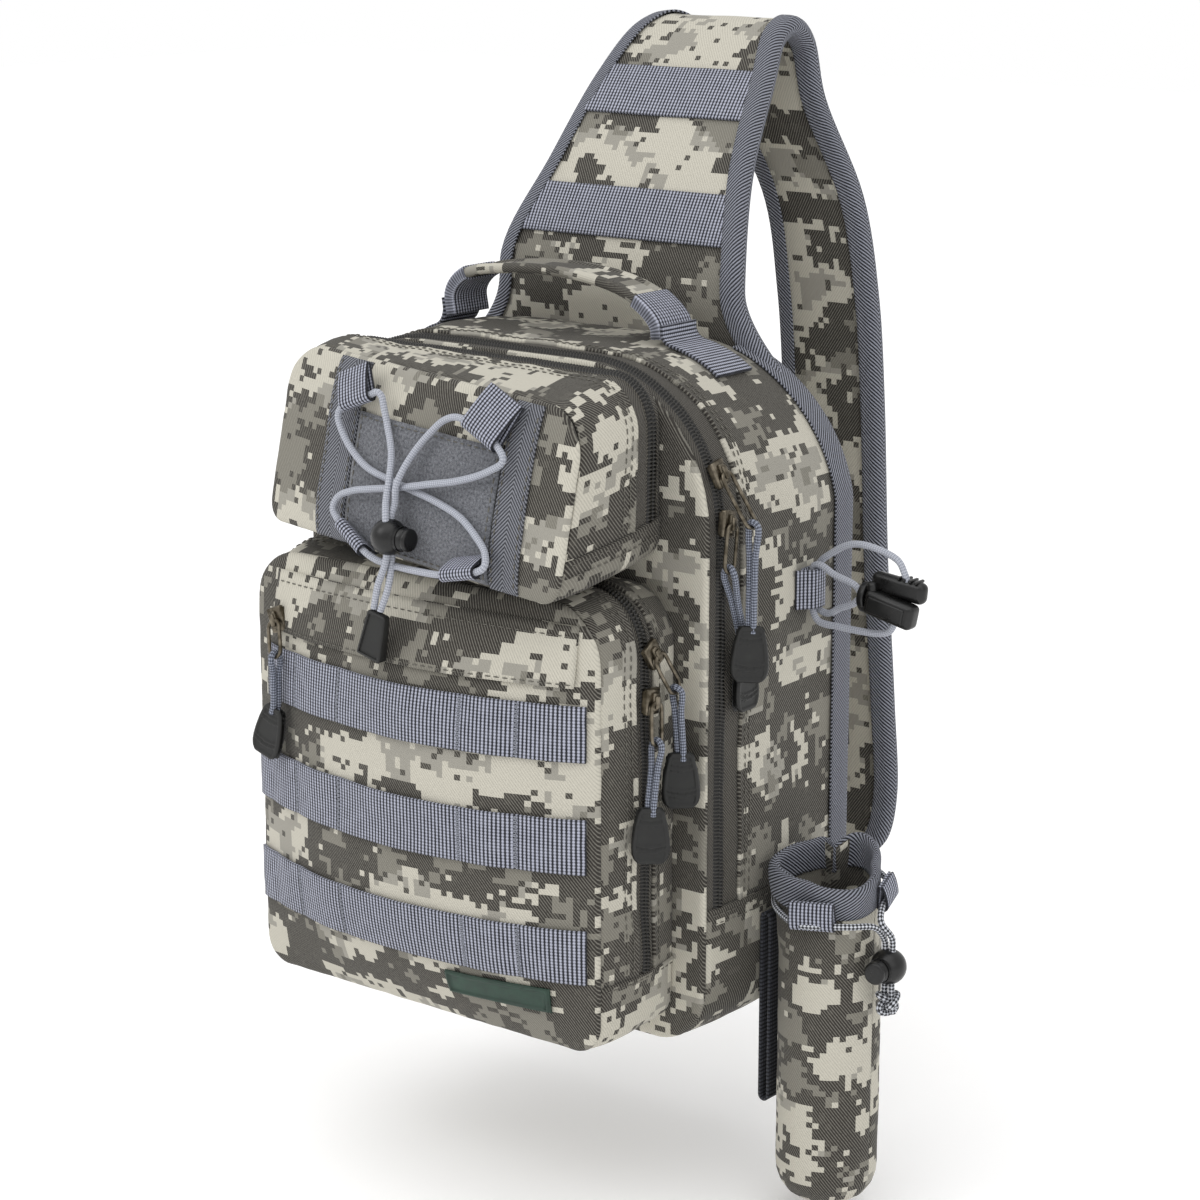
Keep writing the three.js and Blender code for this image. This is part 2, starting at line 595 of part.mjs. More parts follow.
// The tube for the rod's butt, hung on the side, open at its slanting mouth.
const tube = section();
const ends = (y) => (TUBE.slant * y) / TUBE.radius;
function turned(profile, sides) {
  const geometry = new THREE.LatheGeometry(profile.map(([r, z]) => new THREE.Vector2(r, z)), sides);
  geometry.rotateX(Math.PI / 2);
  const spots = geometry.attributes.position;
  for (let i = 0; i < spots.count; i += 1) {
    const share = clamp((spots.getZ(i) - 20) / (TUBE.mouth - 20));
    spots.setZ(i, spots.getZ(i) + share * ends(spots.getY(i)));
  }
  return outward(geometry.translate(TUBE.x, TUBE.y, 0));
}
const r = TUBE.radius;
const w = TUBE.wall;
add(tube, 'rod_tube', turned([
  [0, TUBE.low], [r - 12, TUBE.low + 1.5], [r - 4, TUBE.low + 7], [r, TUBE.low + 17], [r, 20],
  [r, TUBE.mouth], [r - w, TUBE.mouth], [r - w, 20], [r - w, TUBE.low + 17.5], [r - 4 - w, TUBE.low + 8.5],
  [r - 13, TUBE.low + 3.4], [0, TUBE.low + 2],
], 16), 'camo');
const rimOut = r + GAP + RIM.thick;
const rimIn = r - w - GAP - RIM.thick;
const rimLow = TUBE.mouth - RIM.height;
const rimTop = TUBE.mouth + GAP;
add(tube, 'tube_binding', turned([
  [r + GAP, rimLow], [rimOut, rimLow], [rimOut, rimTop + RIM.thick], [rimIn, rimTop + RIM.thick],
  [rimIn, rimLow], [r - w - GAP, rimLow], [r - w - GAP, rimTop], [r + GAP, rimTop], [r + GAP, rimLow],
], 16), 'binding');

// A loop of webbing as a sleeve round a cord from one point to another.
function sleeve(from, to, out, hole, wide, thick) {
  const shape = new THREE.Shape();
  shape.moveTo(-wide / 2, -thick / 2);
  shape.lineTo(wide / 2, -thick / 2);
  shape.lineTo(wide / 2, thick / 2);
  shape.lineTo(-wide / 2, thick / 2);
  const bore = new THREE.Path();
  bore.absarc(0, 0, hole, 0, 2 * Math.PI);
  shape.holes.push(bore);
  const axis = to.clone().sub(from);
  const depth = axis.length();
  const geometry = new THREE.ExtrudeGeometry(shape, { depth, bevelEnabled: false, curveSegments: 5 });
  axis.normalize();
  const up = out.clone().addScaledVector(axis, -out.dot(axis)).normalize();
  const side = up.clone().cross(axis);
  return geometry.applyMatrix4(new THREE.Matrix4().makeBasis(side, up, axis).setPosition(from));
}

const onTube = (degrees, radius) => {
  const a = (degrees * Math.PI) / 180;
  const y = radius * Math.sin(a);
  return V(TUBE.x + radius * Math.cos(a), TUBE.y + y, TUBE.mouth - DRAW.drop + ends(y));
};
const loopHalf = 13;
for (const loop of DRAW_LOOPS) {
  const from = onTube(loop.angle - loopHalf, DRAW.radius + 0.7);
  const to = onTube(loop.angle + loopHalf, DRAW.radius + 0.7);
  const out = onTube(loop.angle, 1).sub(onTube(loop.angle, 0)).setZ(0);
  add(tube, loop.name, sleeve(from, to, out, 2.2, 9, 6), 'webbing');
}
const drawLock = V(...TUBE_LOCK.at);
const [frontLoop, rightLoop] = DRAW_LOOPS.map((loop) => loop.angle);
const drawStart = drawLock.clone().add(V(LOCK.side, 0, 0));
const drawEnd = drawLock.clone().add(V(-LOCK.side, 0, 0));
const drawRoute = [
  drawStart.clone().add(V(1, 0, -22)),
  drawStart.clone().add(V(0, 0, -12)),
  drawStart.clone().add(V(0, 0, 8)),
  drawStart.clone().add(V(0, -0.6, 14)),
  onTube(rightLoop - 24, DRAW.radius + 4.5).add(V(0, 0, -4)),
  onTube(rightLoop - loopHalf, DRAW.radius + 0.7),
  onTube(rightLoop + loopHalf, DRAW.radius + 0.7),
  ...spread(rightLoop + 40, 360 + frontLoop - 40, 8).map((a) => onTube(a, DRAW.radius - 1.2)),
  onTube(frontLoop - loopHalf, DRAW.radius + 0.7),
  onTube(frontLoop + loopHalf, DRAW.radius + 0.7),
  onTube(frontLoop + 36, DRAW.radius + 2.8).add(V(0, 0, -1)),
  onTube(frontLoop + 58, DRAW.radius + 4).add(V(0, 0, -5)),
  drawEnd.clone().add(V(0, -0.6, 12)),
  drawEnd.clone().add(V(0, 0, 7)),
  drawEnd.clone().add(V(0, 0, -12)),
  drawEnd.clone().add(V(-0.5, 0, -21)),
];
add(tube, 'tube_cord', cord(drawRoute, DRAW.cord, 46), 'draw');

const strapLoop = new THREE.Shape();
strapLoop.moveTo(TUBE_STRAP.inner, TUBE_STRAP.low);
strapLoop.lineTo(TUBE_STRAP.outer, TUBE_STRAP.low);
strapLoop.lineTo(TUBE_STRAP.outer, TUBE_STRAP.high);
strapLoop.lineTo(TUBE_STRAP.inner, TUBE_STRAP.high);
const strapHole = new THREE.Path();
strapHole.moveTo(TUBE_STRAP.inner + TUBE_STRAP.thick, TUBE_STRAP.low + 3);
strapHole.lineTo(TUBE_STRAP.inner + TUBE_STRAP.thick, TUBE_STRAP.high - 3);
strapHole.lineTo(TUBE_STRAP.outer - TUBE_STRAP.thick, TUBE_STRAP.high - 3);
strapHole.lineTo(TUBE_STRAP.outer - TUBE_STRAP.thick, TUBE_STRAP.low + 3);
strapLoop.holes.push(strapHole);
const tubeStrap = new THREE.ExtrudeGeometry(strapLoop, { depth: WEBBING, bevelEnabled: false });
tubeStrap.rotateX(Math.PI / 2).translate(0, TUBE_STRAP.y + WEBBING / 2, 0);
add(tube, 'tube_strap', tubeStrap, 'binding');

// A cord lock: the plunger comes out toward +x before the whole is turned.
function lockParts(lock) {
  const room = lock.cord + 0.6;
  const slot = (x0, x1, deep) => block([x1 - x0, 2 * (LOCK.side + room), deep], [(x0 + x1) / 2, 0, 0]);
  const ball = new THREE.SphereGeometry(LOCK.radius, 12, 8).rotateX(Math.PI / 2);
  const bore = new THREE.CylinderGeometry(LOCK.bore, LOCK.bore, 14, 12).rotateZ(Math.PI / 2);
  const body = cut(ball, bore.translate(2, 0, 0), slot(-room, room, 20));
  const stem = new THREE.CylinderGeometry(LOCK.plunger, LOCK.plunger, LOCK.stem + 6, 12).rotateZ(Math.PI / 2);
  const plunger = cut(stem.translate(LOCK.stem, 0, 0), slot(-room, room + LOCK.travel, 20));
  return { body, plunger };
}

function place(mesh, lock) {
  mesh.position.set(...lock.at);
  mesh.rotation.set(...lock.turn);
}

const locks = [
  { name: 'tube_lock', lock: TUBE_LOCK, group: tube },
  { name: 'front_lock', lock: FRONT_LOCK, group: pocket },
];
for (const { name, lock, group } of locks) {
  const { body: shell, plunger } = lockParts(lock);
  place(add(group, name, shell, 'rubber'), lock);
  place(add(group, `${name}_plunger`, plunger, 'rubber'), lock);
}

// The elastic cord over the upper pocket, its loops and its end piece.
for (const loop of CORD_LOOPS) {
  add(pocket, loop.name, sleeve(V(...loop.from), V(...loop.to), V(0, -1, 0), 2.4, 9, 6), 'webbing');
}
add(pocket, 'front_cord', cord(LACING.map(spot), CORD, 78), 'elastic');
const cordEnd = block(CORD_END.size, [0, 0, 0]).rotateY(CORD_END.tilt);
add(pocket, 'front_cord_end', cordEnd.translate(...CORD_END.at), 'rubber');

// The rod tie on the side: a tab, its cord and a toggle.
const tie = section();
const tabTall = SIDE_TAB.high - SIDE_TAB.low;
const tabMiddle = (SIDE_TAB.high + SIDE_TAB.low) / 2;
add(tie, 'side_tab', cut(
  block(
    [SIDE_TAB.x1 - SIDE_TAB.x0, SIDE_TAB.y1 - SIDE_TAB.y0, tabTall],
    [(SIDE_TAB.x0 + SIDE_TAB.x1) / 2, (SIDE_TAB.y0 + SIDE_TAB.y1) / 2, tabMiddle],
  ),
  block([TAB_SLOT.wide, TAB_SLOT.deep, tabTall + 2], [TAB_SLOT.x, TAB_SLOT.y, tabMiddle]),
), 'webbing');
add(tie, 'side_cord', cord(TIE.map(spot), CORD, 37), 'elastic');
add(tie, 'side_toggle', join(
  new THREE.CylinderGeometry(7, 7, 3.4, 16).rotateZ(Math.PI / 2).translate(153.6, -30, 203),
  block([30, 8, 9.5], [169, -29, 210.2]),
  block([26, 9, 12.5], [167, -30.5, 197.4]),
), 'rubber');

// Where a slider sits and the way off its cloth.
function seatOf(pull) {
  if (pull.at) return { at: V(...pull.at), out: V(...pull.out) };
  const { p, n } = gussetFace(pull.of)(outline(pull.of).sideAt(pull.up), pull.zip.q);
  return { at: p.addScaledVector(n, GAP), out: n };
}

// A slider on its zip with the wire ring that hangs from it.
function slider(pull) {
  const { at, out } = seatOf(pull);
  const eye = at.clone().addScaledVector(out, 6);
  const hang = V(...pull.ring).sub(eye);
  const length = hang.length();
  hang.normalize();
  const side = out.clone().cross(hang).normalize();
  const along = out.clone().cross(side);
  const plate = block([9, 12, 3], [0, 0, 3.1]);
  const bridge = block([3.2, 7, 3.6], [0, 0, 5.6]);
  const seat = new THREE.Matrix4().makeBasis(side, along, out).setPosition(at);
  const bow = 3.5;
  const ring = new THREE.TorusGeometry(bow, WIRE, 5, 8);
  const spots = ring.attributes.position;
  for (let i = 0; i < spots.count; i += 1) {
    if (spots.getY(i) > 0.5 * WIRE) spots.setY(i, spots.getY(i) + length - 2 * bow);
  }
  const turn = new THREE.Matrix4().makeBasis(side, hang, side.clone().cross(hang));
  turn.setPosition(eye.clone().addScaledVector(hang, bow));
  return join(plate.applyMatrix4(seat), bridge.applyMatrix4(seat), ring.applyMatrix4(turn));
}

// The cord through a ring, with the moulded tab on its end.
function pullTab(pull) {
  const { at, out } = seatOf(pull);
  const ring = V(...pull.ring);
  const hang = ring.clone().sub(at.addScaledVector(out, 6)).normalize();
  const side = out.clone().cross(hang).normalize();
  const through = side.clone().cross(hang);
  const top = V(...pull.tab);
  const down = V(...pull.end).sub(top).normalize();
  const clear = WIRE + PULL_CORD + 1.5;
  const strand = (sign) => [
    ring.clone().addScaledVector(through, sign * clear),
    ring.clone().lerp(top, 0.35).addScaledVector(through, sign * (clear - 0.5)),
    top.clone().addScaledVector(through, sign * 1.1),
    top.clone().addScaledVector(down, 4).addScaledVector(through, sign * 0.9),
  ];
  const route = [...strand(1).reverse(), ring.clone().addScaledVector(hang, -clear), ...strand(-1)];
  const face = V(...pull.face).normalize();
  face.addScaledVector(down, -face.dot(down)).normalize();
  const wide = down.clone().cross(face);
  const shape = new THREE.Shape([
    [-4.4, 0], [4.4, 0], [6.2, 2], [8.6, TAB_LENGTH - 7], [7.6, TAB_LENGTH - 2], [4.4, TAB_LENGTH],
    [-4.4, TAB_LENGTH], [-7.6, TAB_LENGTH - 2], [-8.6, TAB_LENGTH - 7], [-6.2, 2],
  ].map(([x, y]) => new THREE.Vector2(x, y)));
  const tab = new THREE.ExtrudeGeometry(shape, { depth: TAB_THICK, bevelEnabled: false });
  tab.translate(0, 0, -TAB_THICK / 2);
  tab.applyMatrix4(new THREE.Matrix4().makeBasis(wide, down, wide.clone().cross(down)).setPosition(top));
  return join(cord(route, PULL_CORD, 12, 6), tab);
}

const zips = section();
for (const pull of PULLS) {
  add(zips, `${pull.name}_slider`, slider(pull), 'metal');
  add(zips, `${pull.name}_pull`, pullTab(pull), 'rubber');
}

export default root;
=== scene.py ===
"""Dresses the sling tackle bag: sewn camouflage cloth, webbing, bindings, zips, cords and fittings."""

import json
import math
from types import SimpleNamespace as Sizes

import bmesh
import bpy
from mathutils import Matrix, Vector, noise
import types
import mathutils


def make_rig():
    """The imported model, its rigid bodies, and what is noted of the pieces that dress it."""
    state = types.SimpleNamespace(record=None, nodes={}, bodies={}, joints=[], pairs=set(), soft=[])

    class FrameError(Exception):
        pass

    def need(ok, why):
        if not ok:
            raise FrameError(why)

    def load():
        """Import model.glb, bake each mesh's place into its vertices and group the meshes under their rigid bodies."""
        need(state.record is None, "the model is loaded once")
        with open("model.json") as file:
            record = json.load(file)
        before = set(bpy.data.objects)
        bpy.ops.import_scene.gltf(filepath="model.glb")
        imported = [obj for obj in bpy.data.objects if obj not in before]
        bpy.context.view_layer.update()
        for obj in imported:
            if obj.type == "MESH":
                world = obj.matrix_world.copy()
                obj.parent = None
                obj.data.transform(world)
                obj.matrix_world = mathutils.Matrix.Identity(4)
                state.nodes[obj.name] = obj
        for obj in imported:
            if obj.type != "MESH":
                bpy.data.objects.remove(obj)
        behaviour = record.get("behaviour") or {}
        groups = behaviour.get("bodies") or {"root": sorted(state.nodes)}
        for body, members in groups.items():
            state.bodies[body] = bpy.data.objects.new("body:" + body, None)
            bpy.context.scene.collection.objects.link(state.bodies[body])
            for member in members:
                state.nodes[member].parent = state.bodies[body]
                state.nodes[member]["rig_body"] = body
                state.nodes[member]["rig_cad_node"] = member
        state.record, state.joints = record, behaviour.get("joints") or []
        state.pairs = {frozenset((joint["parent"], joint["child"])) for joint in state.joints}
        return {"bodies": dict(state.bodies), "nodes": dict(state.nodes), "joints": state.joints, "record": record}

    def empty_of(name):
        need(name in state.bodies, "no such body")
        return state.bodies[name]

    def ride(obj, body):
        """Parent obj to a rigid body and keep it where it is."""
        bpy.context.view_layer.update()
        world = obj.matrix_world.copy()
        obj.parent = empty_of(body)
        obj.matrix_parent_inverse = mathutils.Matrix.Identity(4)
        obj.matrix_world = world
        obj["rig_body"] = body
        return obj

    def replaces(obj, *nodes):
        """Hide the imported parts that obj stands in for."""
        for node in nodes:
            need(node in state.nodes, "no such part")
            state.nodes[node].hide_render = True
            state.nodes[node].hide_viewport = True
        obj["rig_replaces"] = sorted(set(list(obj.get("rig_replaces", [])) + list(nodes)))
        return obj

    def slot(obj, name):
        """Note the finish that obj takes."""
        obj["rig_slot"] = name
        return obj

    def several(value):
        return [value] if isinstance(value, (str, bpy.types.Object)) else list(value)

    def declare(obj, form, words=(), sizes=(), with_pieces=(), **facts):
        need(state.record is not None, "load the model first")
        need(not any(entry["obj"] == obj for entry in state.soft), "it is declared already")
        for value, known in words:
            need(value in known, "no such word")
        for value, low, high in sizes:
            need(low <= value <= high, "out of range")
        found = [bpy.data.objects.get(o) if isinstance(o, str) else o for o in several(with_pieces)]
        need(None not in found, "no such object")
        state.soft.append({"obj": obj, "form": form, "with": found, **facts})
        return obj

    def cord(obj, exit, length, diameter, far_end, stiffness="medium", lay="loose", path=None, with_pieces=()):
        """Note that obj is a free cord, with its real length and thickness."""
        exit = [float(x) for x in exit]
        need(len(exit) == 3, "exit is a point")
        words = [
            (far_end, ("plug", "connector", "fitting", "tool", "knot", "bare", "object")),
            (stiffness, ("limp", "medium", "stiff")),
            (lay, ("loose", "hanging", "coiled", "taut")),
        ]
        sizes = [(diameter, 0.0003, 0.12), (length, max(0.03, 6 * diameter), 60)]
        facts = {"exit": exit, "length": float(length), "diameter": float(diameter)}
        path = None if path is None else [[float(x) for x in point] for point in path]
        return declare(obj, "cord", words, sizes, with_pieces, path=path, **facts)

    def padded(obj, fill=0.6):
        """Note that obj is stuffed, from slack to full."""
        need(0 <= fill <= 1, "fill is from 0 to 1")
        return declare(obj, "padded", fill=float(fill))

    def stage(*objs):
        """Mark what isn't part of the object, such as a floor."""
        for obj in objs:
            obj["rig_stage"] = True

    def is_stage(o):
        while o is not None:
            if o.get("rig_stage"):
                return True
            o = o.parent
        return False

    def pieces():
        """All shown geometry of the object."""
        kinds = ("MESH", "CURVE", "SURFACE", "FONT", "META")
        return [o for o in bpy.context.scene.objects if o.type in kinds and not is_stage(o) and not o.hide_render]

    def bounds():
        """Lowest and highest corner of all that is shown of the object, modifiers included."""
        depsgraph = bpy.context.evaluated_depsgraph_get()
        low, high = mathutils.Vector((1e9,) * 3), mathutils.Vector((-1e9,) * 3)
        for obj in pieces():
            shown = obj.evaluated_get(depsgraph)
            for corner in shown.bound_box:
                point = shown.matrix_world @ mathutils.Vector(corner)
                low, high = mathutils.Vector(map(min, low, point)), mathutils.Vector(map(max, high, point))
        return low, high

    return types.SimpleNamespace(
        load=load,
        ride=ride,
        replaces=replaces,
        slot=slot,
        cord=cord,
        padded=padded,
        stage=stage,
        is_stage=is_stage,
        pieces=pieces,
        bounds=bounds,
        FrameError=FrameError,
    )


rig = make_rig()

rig.load()
cad_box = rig.bounds()

# Sizes are in millimetres in the bag's own frame: x to the right, y back, z up from the bag's
# bottom. The shared frame is in metres and starts at HANG, under the top of the shoulder strap.
MM = 0.001
HANG = Vector((0, 74, 445.5))
FULL_TURN = 2 * math.pi
RIGHT, BACK, UP = Vector((1, 0, 0)), Vector((0, 1, 0)), Vector((0, 0, 1))
GAP = 0.3
CLOTH = 2.0
BACK_PAD = 7.4
BACK_WALL = 7
SEWN_LIFT = 1.5
TAPE_WALL = 1.0
WEBBING = 25
WEBBING_WALL = 1.3
ELASTIC_CORD = 1.6
PULL_CORD = 1.45
WIRE = 0.9
COIL_PITCH = 1.7

# Each compartment's rounded outline, the way its cloth swells and hangs, and the seeds of its dents.
# Its zip lies across the gusset from q0 to q1 behind the front edge, with its coil at q, and
# comes down on both sides to the height end.
MAIN = Sizes(
    half=118, low=0, high=309, top=70, base=28, rear=0, front=-101, lean=16, bulge=2,
    dome=0, crown=2, deep=0, turn=0, droop=0, side_seed=1.7, front_seed=2.2,
    zip=Sizes(q0=0, q1=22, q=8, end=66),
)
UPPER = Sizes(
    half=93, low=226, high=307, top=22, base=10, rear=-103.6, front=-155, lean=0, bulge=2,
    dome=6, crown=2.4, deep=0.25, turn=0.1, droop=0.06, side_seed=8.1, front_seed=6.6,
    zip=Sizes(q0=34, q1=51.4, q=45, end=245),
)
LOWER = Sizes(
    half=101, low=10, high=214, top=26, base=14, rear=-103.6, front=-156, lean=0, bulge=2,
    dome=24, crown=2, deep=0, turn=0, droop=0, side_seed=4.4, front_seed=9.5,
    zip=Sizes(q0=22, q1=35, q=28.5, end=42),
)
# Broad and small dents: how high, how wide, and the step from the seed.
SIDE_DENTS = ((2.0, 46, 0), (0.9, 17, 5))
FRONT_DENTS = ((1.8, 55, 0), (0.8, 19, 3))
LEAN_FROM = MAIN.high - MAIN.top
DROOP_FROM = 60

WEBBING_TOPS = [171, 120, 69]
WEBBING_LEFTS = [-88, -99, -99]
WEBBING_RIGHT = 97
BAR_TACKS = [-63, -31, 40, 67]
FLAP = Sizes(left=-84, right=92, low=179, high=206)
LABEL = Sizes(left=27, right=80, low=28, high=40, rim=0.7, border=1.7)
PILE = Sizes(left=-36, right=54, low=228, high=286)
BANDS = {"band_left": (-57, -37), "band_right": (55, 71)}

# The shoulder strap, from its seam over the top to its free end: middle, half width, y and z.
# It starts a little before its first row and flares there into the seam.
STRAP = [
    (0, 68, -11, 309.9), (-2, 69, -10, 338), (-1, 57, 11, 381), (-3, 49, 42, 421),
    (-3, 42, 62, 442), (0, 39, 74, 446), (4, 35, 85, 438), (15, 30, 86, 412),
    (47, 26, 79, 366), (60, 26, 74, 320), (67, 26, 70, 272), (73, 26, 67, 194),
    (80, 26, 65, 124), (84, 26, 63, 78), (85, 21, 62, 56), (86, 11, 62, 46),
]
STRAP_SPAN = len(STRAP) - 1
STRAP_ROOT = -0.24
FLARE = Sizes(rows=0.99, wide=26, fall=12)
STRAP_PAD = 7
SLOPE = 0.05
STRAP_STRIPS = {"strap_webbing_high": (2.5, 3.1), "strap_webbing_low": (1.25, 1.75)}
TAIL = [(86, 62, 42.6), (88, 56, 33), (92, 38, 22), (96, 20, 17), (97, 11.6, 17)]

HANDLE = Sizes(y=-45, width=24, thick=5, step=2.5)
HANDLE_PATH = [
    (-67, 313), (-68, 324), (-60, 333), (-32, 338), (0, 338.5),
    (28, 334.5), (45, 327.5), (54, 319), (55, 313),
]

# The rod tube, the shape of its gathered mouth, the rows of its closed end as radius and height, and
# the loops of its drawcord with the angle that each one is at and half of the angle that it takes up.
TUBE = Sizes(x=151, y=-50.5, radius=23.5, low=-85, mouth=82, slant=6, wall=1.8)
MOUTH = Sizes(
    low=36, over=40, corner=0.13, corner_at=-28, fold=0.42, fold_at=118, fold_half=12,
    wave=0.012, slant_at=115,
)
TUBE_END = [(0, -80), (8, -79.6), (14, -78), (18.5, -75), (21.6, -70.5), (23.1, -66), (23.5, -61)]
DRAW = Sizes(radius=27, drop=14, cord=1.5)
FRONT_ANGLE, RIGHT_ANGLE = -75, 13
DRAW_LOOPS = {"tube_loop_front": (FRONT_ANGLE, 22), "tube_loop_right": (RIGHT_ANGLE, 14)}
TUBE_STRAP = Sizes(x=123.6, bend=2.3, low=-36, high=56, fold=2.6, straight=6)

LOCK = Sizes(radius=8.2, lip=6.2, plunger=5.2, tip=12.9, bore=5.5, side=1.85)
FRONT_LOCK = Vector((2.2, -180.6, 236.3))
TUBE_LOCK = Vector((183.8, -52.5, 41))

# The four webbing loops on the upper pocket: where the cord runs in and out, and the way and the
# distance to the seam.
CORD_LOOPS = {
    "cord_loop_top_left": ((-24.5, -161, 293.8), (-41.5, -161, 287.2), (-0.2, 0.3, 0.95), 15),
    "cord_loop_base_right": ((56, -185.3, 229.2), (36, -183.7, 224.7), (0.1, 0.8, 0.45), 12),
    "cord_loop_base_left": ((-16, -177.6, 227.2), (-34, -172.6, 236.2), (-0.2, 0.9, -0.3), 9),
    "cord_loop_top_right": ((55, -169.6, 281.2), (34.5, -165.4, 289.2), (0.8, 0.3, 0.6), 20),
}

# The elastic cord laced over the upper pocket, from its end piece through the lock and back.
LACING = [
    (-3.9, -184.4, 203.6), (-2.3, -183.4, 214), (2.2, -182.45, 227.3), (2.2, -182.45, 245.3),
    (-1, -178.6, 251), (-1.5, -175.7, 260.2), (-6, -168.9, 270.5), (-13.5, -162.7, 280.5),
    (-17, -161.2, 289), (-19, -160.6, 293.9), (-21.5, -160.9, 295.2), (-24.5, -161, 293.8),
    (-41.5, -161, 287.2), (-44.3, -161.6, 282.2), (-41, -162.7, 275.5), (-33.5, -164.3, 267.8),
    (-23, -165.9, 261.6), (-8.5, -168.1, 258.5), (7, -170.3, 256), (23, -172.5, 253.2),
    (38.5, -174.9, 248.8), (49, -177.2, 242.5), (57, -180.5, 236.7), (60, -184.7, 231.8),
    (56, -185.3, 229.2), (36, -183.7, 224.7), (18.5, -180.9, 223.3), (1, -178.2, 223.1),
    (-9.5, -177.2, 224), (-16, -177.6, 227.2), (-34, -172.6, 236.2), (-39.5, -171.3, 241.7),
    (-37.5, -170.1, 247.2), (-28.5, -170.5, 251.2), (-16.5, -171.9, 253.8), (0.5, -173, 256.7),
    (20.5, -173.6, 261), (35.5, -173.2, 264.2), (50.5, -172.2, 269.5), (60, -171.5, 275.8),
    (55, -169.6, 281.2), (34.5, -165.4, 289.2), (27.5, -164.6, 290), (21, -164.9, 287.7),
    (14.5, -166.5, 281.7), (8, -169, 273.5), (5, -173.9, 265.2), (3.5, -176.8, 258.5),
    (2.5, -176.7, 250), (2.2, -178.75, 245.3), (2.2, -178.75, 227.3), (2.3, -181.6, 214),
    (-0.2, -184.4, 202.9),
]
CORD_END = Sizes(at=(-3, -185, 192), size=(14, 6, 21.5), tilt=0.237, taper=0.74)

# The elastic cord of the rod tie, out from the side tab to the toggle and back, twice.
TIE = [
    (174, -28, 211), (172.4, -29, 216.2), (169, -29, 221.5), (157, -29, 225.5), (144, -28, 225.5),
    (132, -26.6, 219.5), (124.6, -26.2, 213), (124, -26.2, 203), (124.6, -26.2, 193), (130, -26.4, 191),
    (138, -28, 195), (147.5, -30, 199.5), (150, -30, 203.4), (147.5, -30, 207), (136, -30, 210.5),
    (128, -30, 214), (124.4, -29.8, 213), (124, -29.8, 203), (124.2, -29.8, 193), (127.5, -30, 187.8),
    (139, -30, 186.8), (152, -30, 186.6), (160, -30.2, 187), (166, -30.4, 189), (170, -31.5, 195.5),
]

# Zip pulls: the compartment, the slider's height, the ring's foot, the moulded tab's top and end,
# and the way that the tab faces.
PULL_ROWS = [
    ("main_a", MAIN, 264, (131.5, -88, 242), (131, -88, 198), (130.5, -88.6, 172), (0.62, -0.79, 0)),
    ("main_b", MAIN, 243, (125.3, -97, 222.5), (122.8, -80.5, 182), (122.8, -80, 156), (1, 0, 0)),
    ("lower_a", LOWER, 189, (111.5, -116, 171), (114.5, -117, 144), (114.5, -116.5, 118), (0.66, -0.75, 0)),
    ("lower_b", LOWER, 168, (110.5, -129, 149), (112.5, -135.8, 123), (112.5, -136, 97), (0.66, -0.75, 0)),
    ("flap", None, 0, (-72.5, -176.6, 168.5), (-73.5, -176.4, 145), (-82, -176.2, 118.5), (0, -1, 0)),
]
PULLS = [
    Sizes(name=name, of=of, up=up, ring=Vector(ring), tab=Vector(tab), end=Vector(end), face=Vector(face))
    for name, of, up, ring, tab, end, face in PULL_ROWS
]
FLAP_SEAT = Vector((-78.5, -165.4, 184))
SEAT_SEED = 1.7
EYE = 6
TAB_LENGTH = 26
TAB_THICK = 4.4
TAB_RIBS = (5.5, 8, 18, 20.2)
TAB_EDGE = [
    (0, 3.8), (0.8, 4.8), (2.2, 6), (8, 7.4), (14, 8.3),
    (18, 8.6), (21, 8.4), (23.4, 7.6), (25.2, 6), (26, 3.8),
]


def at_rest(p):
    return (Vector(p) - HANG) * MM


def moved(p, x, y, z):
    return p + Vector((x, y, z))


def clamp(t):
    return min(1.0, max(0.0, t))


def spread(start, stop, step):
    """Even values from start to stop, about a step apart."""
    count = max(1, round(abs(stop - start) / step))
    return [start + (stop - start) * i / count for i in range(count + 1)]


def dent(u, v, size, seed):
    return noise.noise(Vector((u / size, v / size, seed)))


def rumple(u, v, dents, seed):
    return sum(rise * dent(u, v, size, seed + step) for rise, size, step in dents)


def beside(items, i):
    """The items before and after one, or that one itself at an end."""
    return items[max(0, i - 1)], items[min(len(items) - 1, i + 1)]


def headings(path):
    """The way along a path at each of its points."""
    steps = [beside(path, i) for i in range(len(path))]
    return [(after - before).normalized() for before, after in steps]


def square_to(section, k, out, up):
    """The way out of a section, which is drawn in two directions, at one of its points."""
    before, after = beside(section, k)
    return up * (after.x - before.x) - out * (after.y - before.y)


def seated(x, y, z, at):
    """A matrix that turns to three directions and moves to a place."""
    seat = Matrix((x, y, z)).transposed().to_4x4()
    seat.translation = at_rest(at)
    return seat


def runs(points):
    """How far along a line each of its points is."""
    found = [0.0]
    for a, b in zip(points, points[1:]):
        found.append(found[-1] + (b - a).length)
    return found


# Materials
def linear(code):
    def channel(i):
        c = int(code[i : i + 2], 16) / 255
        return c / 12.92 if c <= 0.04045 else ((c + 0.055) / 1.055) ** 2.4

    return (channel(1), channel(3), channel(5), 1.0)


def add(tree, kind, inputs=None, **settings):
    made = tree.nodes.new("ShaderNode" + kind)
    for key, value in settings.items():
        setattr(made, key, value)
    for socket, value in (inputs or {}).items():
        if isinstance(value, bpy.types.NodeSocket):
            tree.links.new(value, made.inputs[socket])
        else:
            made.inputs[socket].default_value = value
    return made


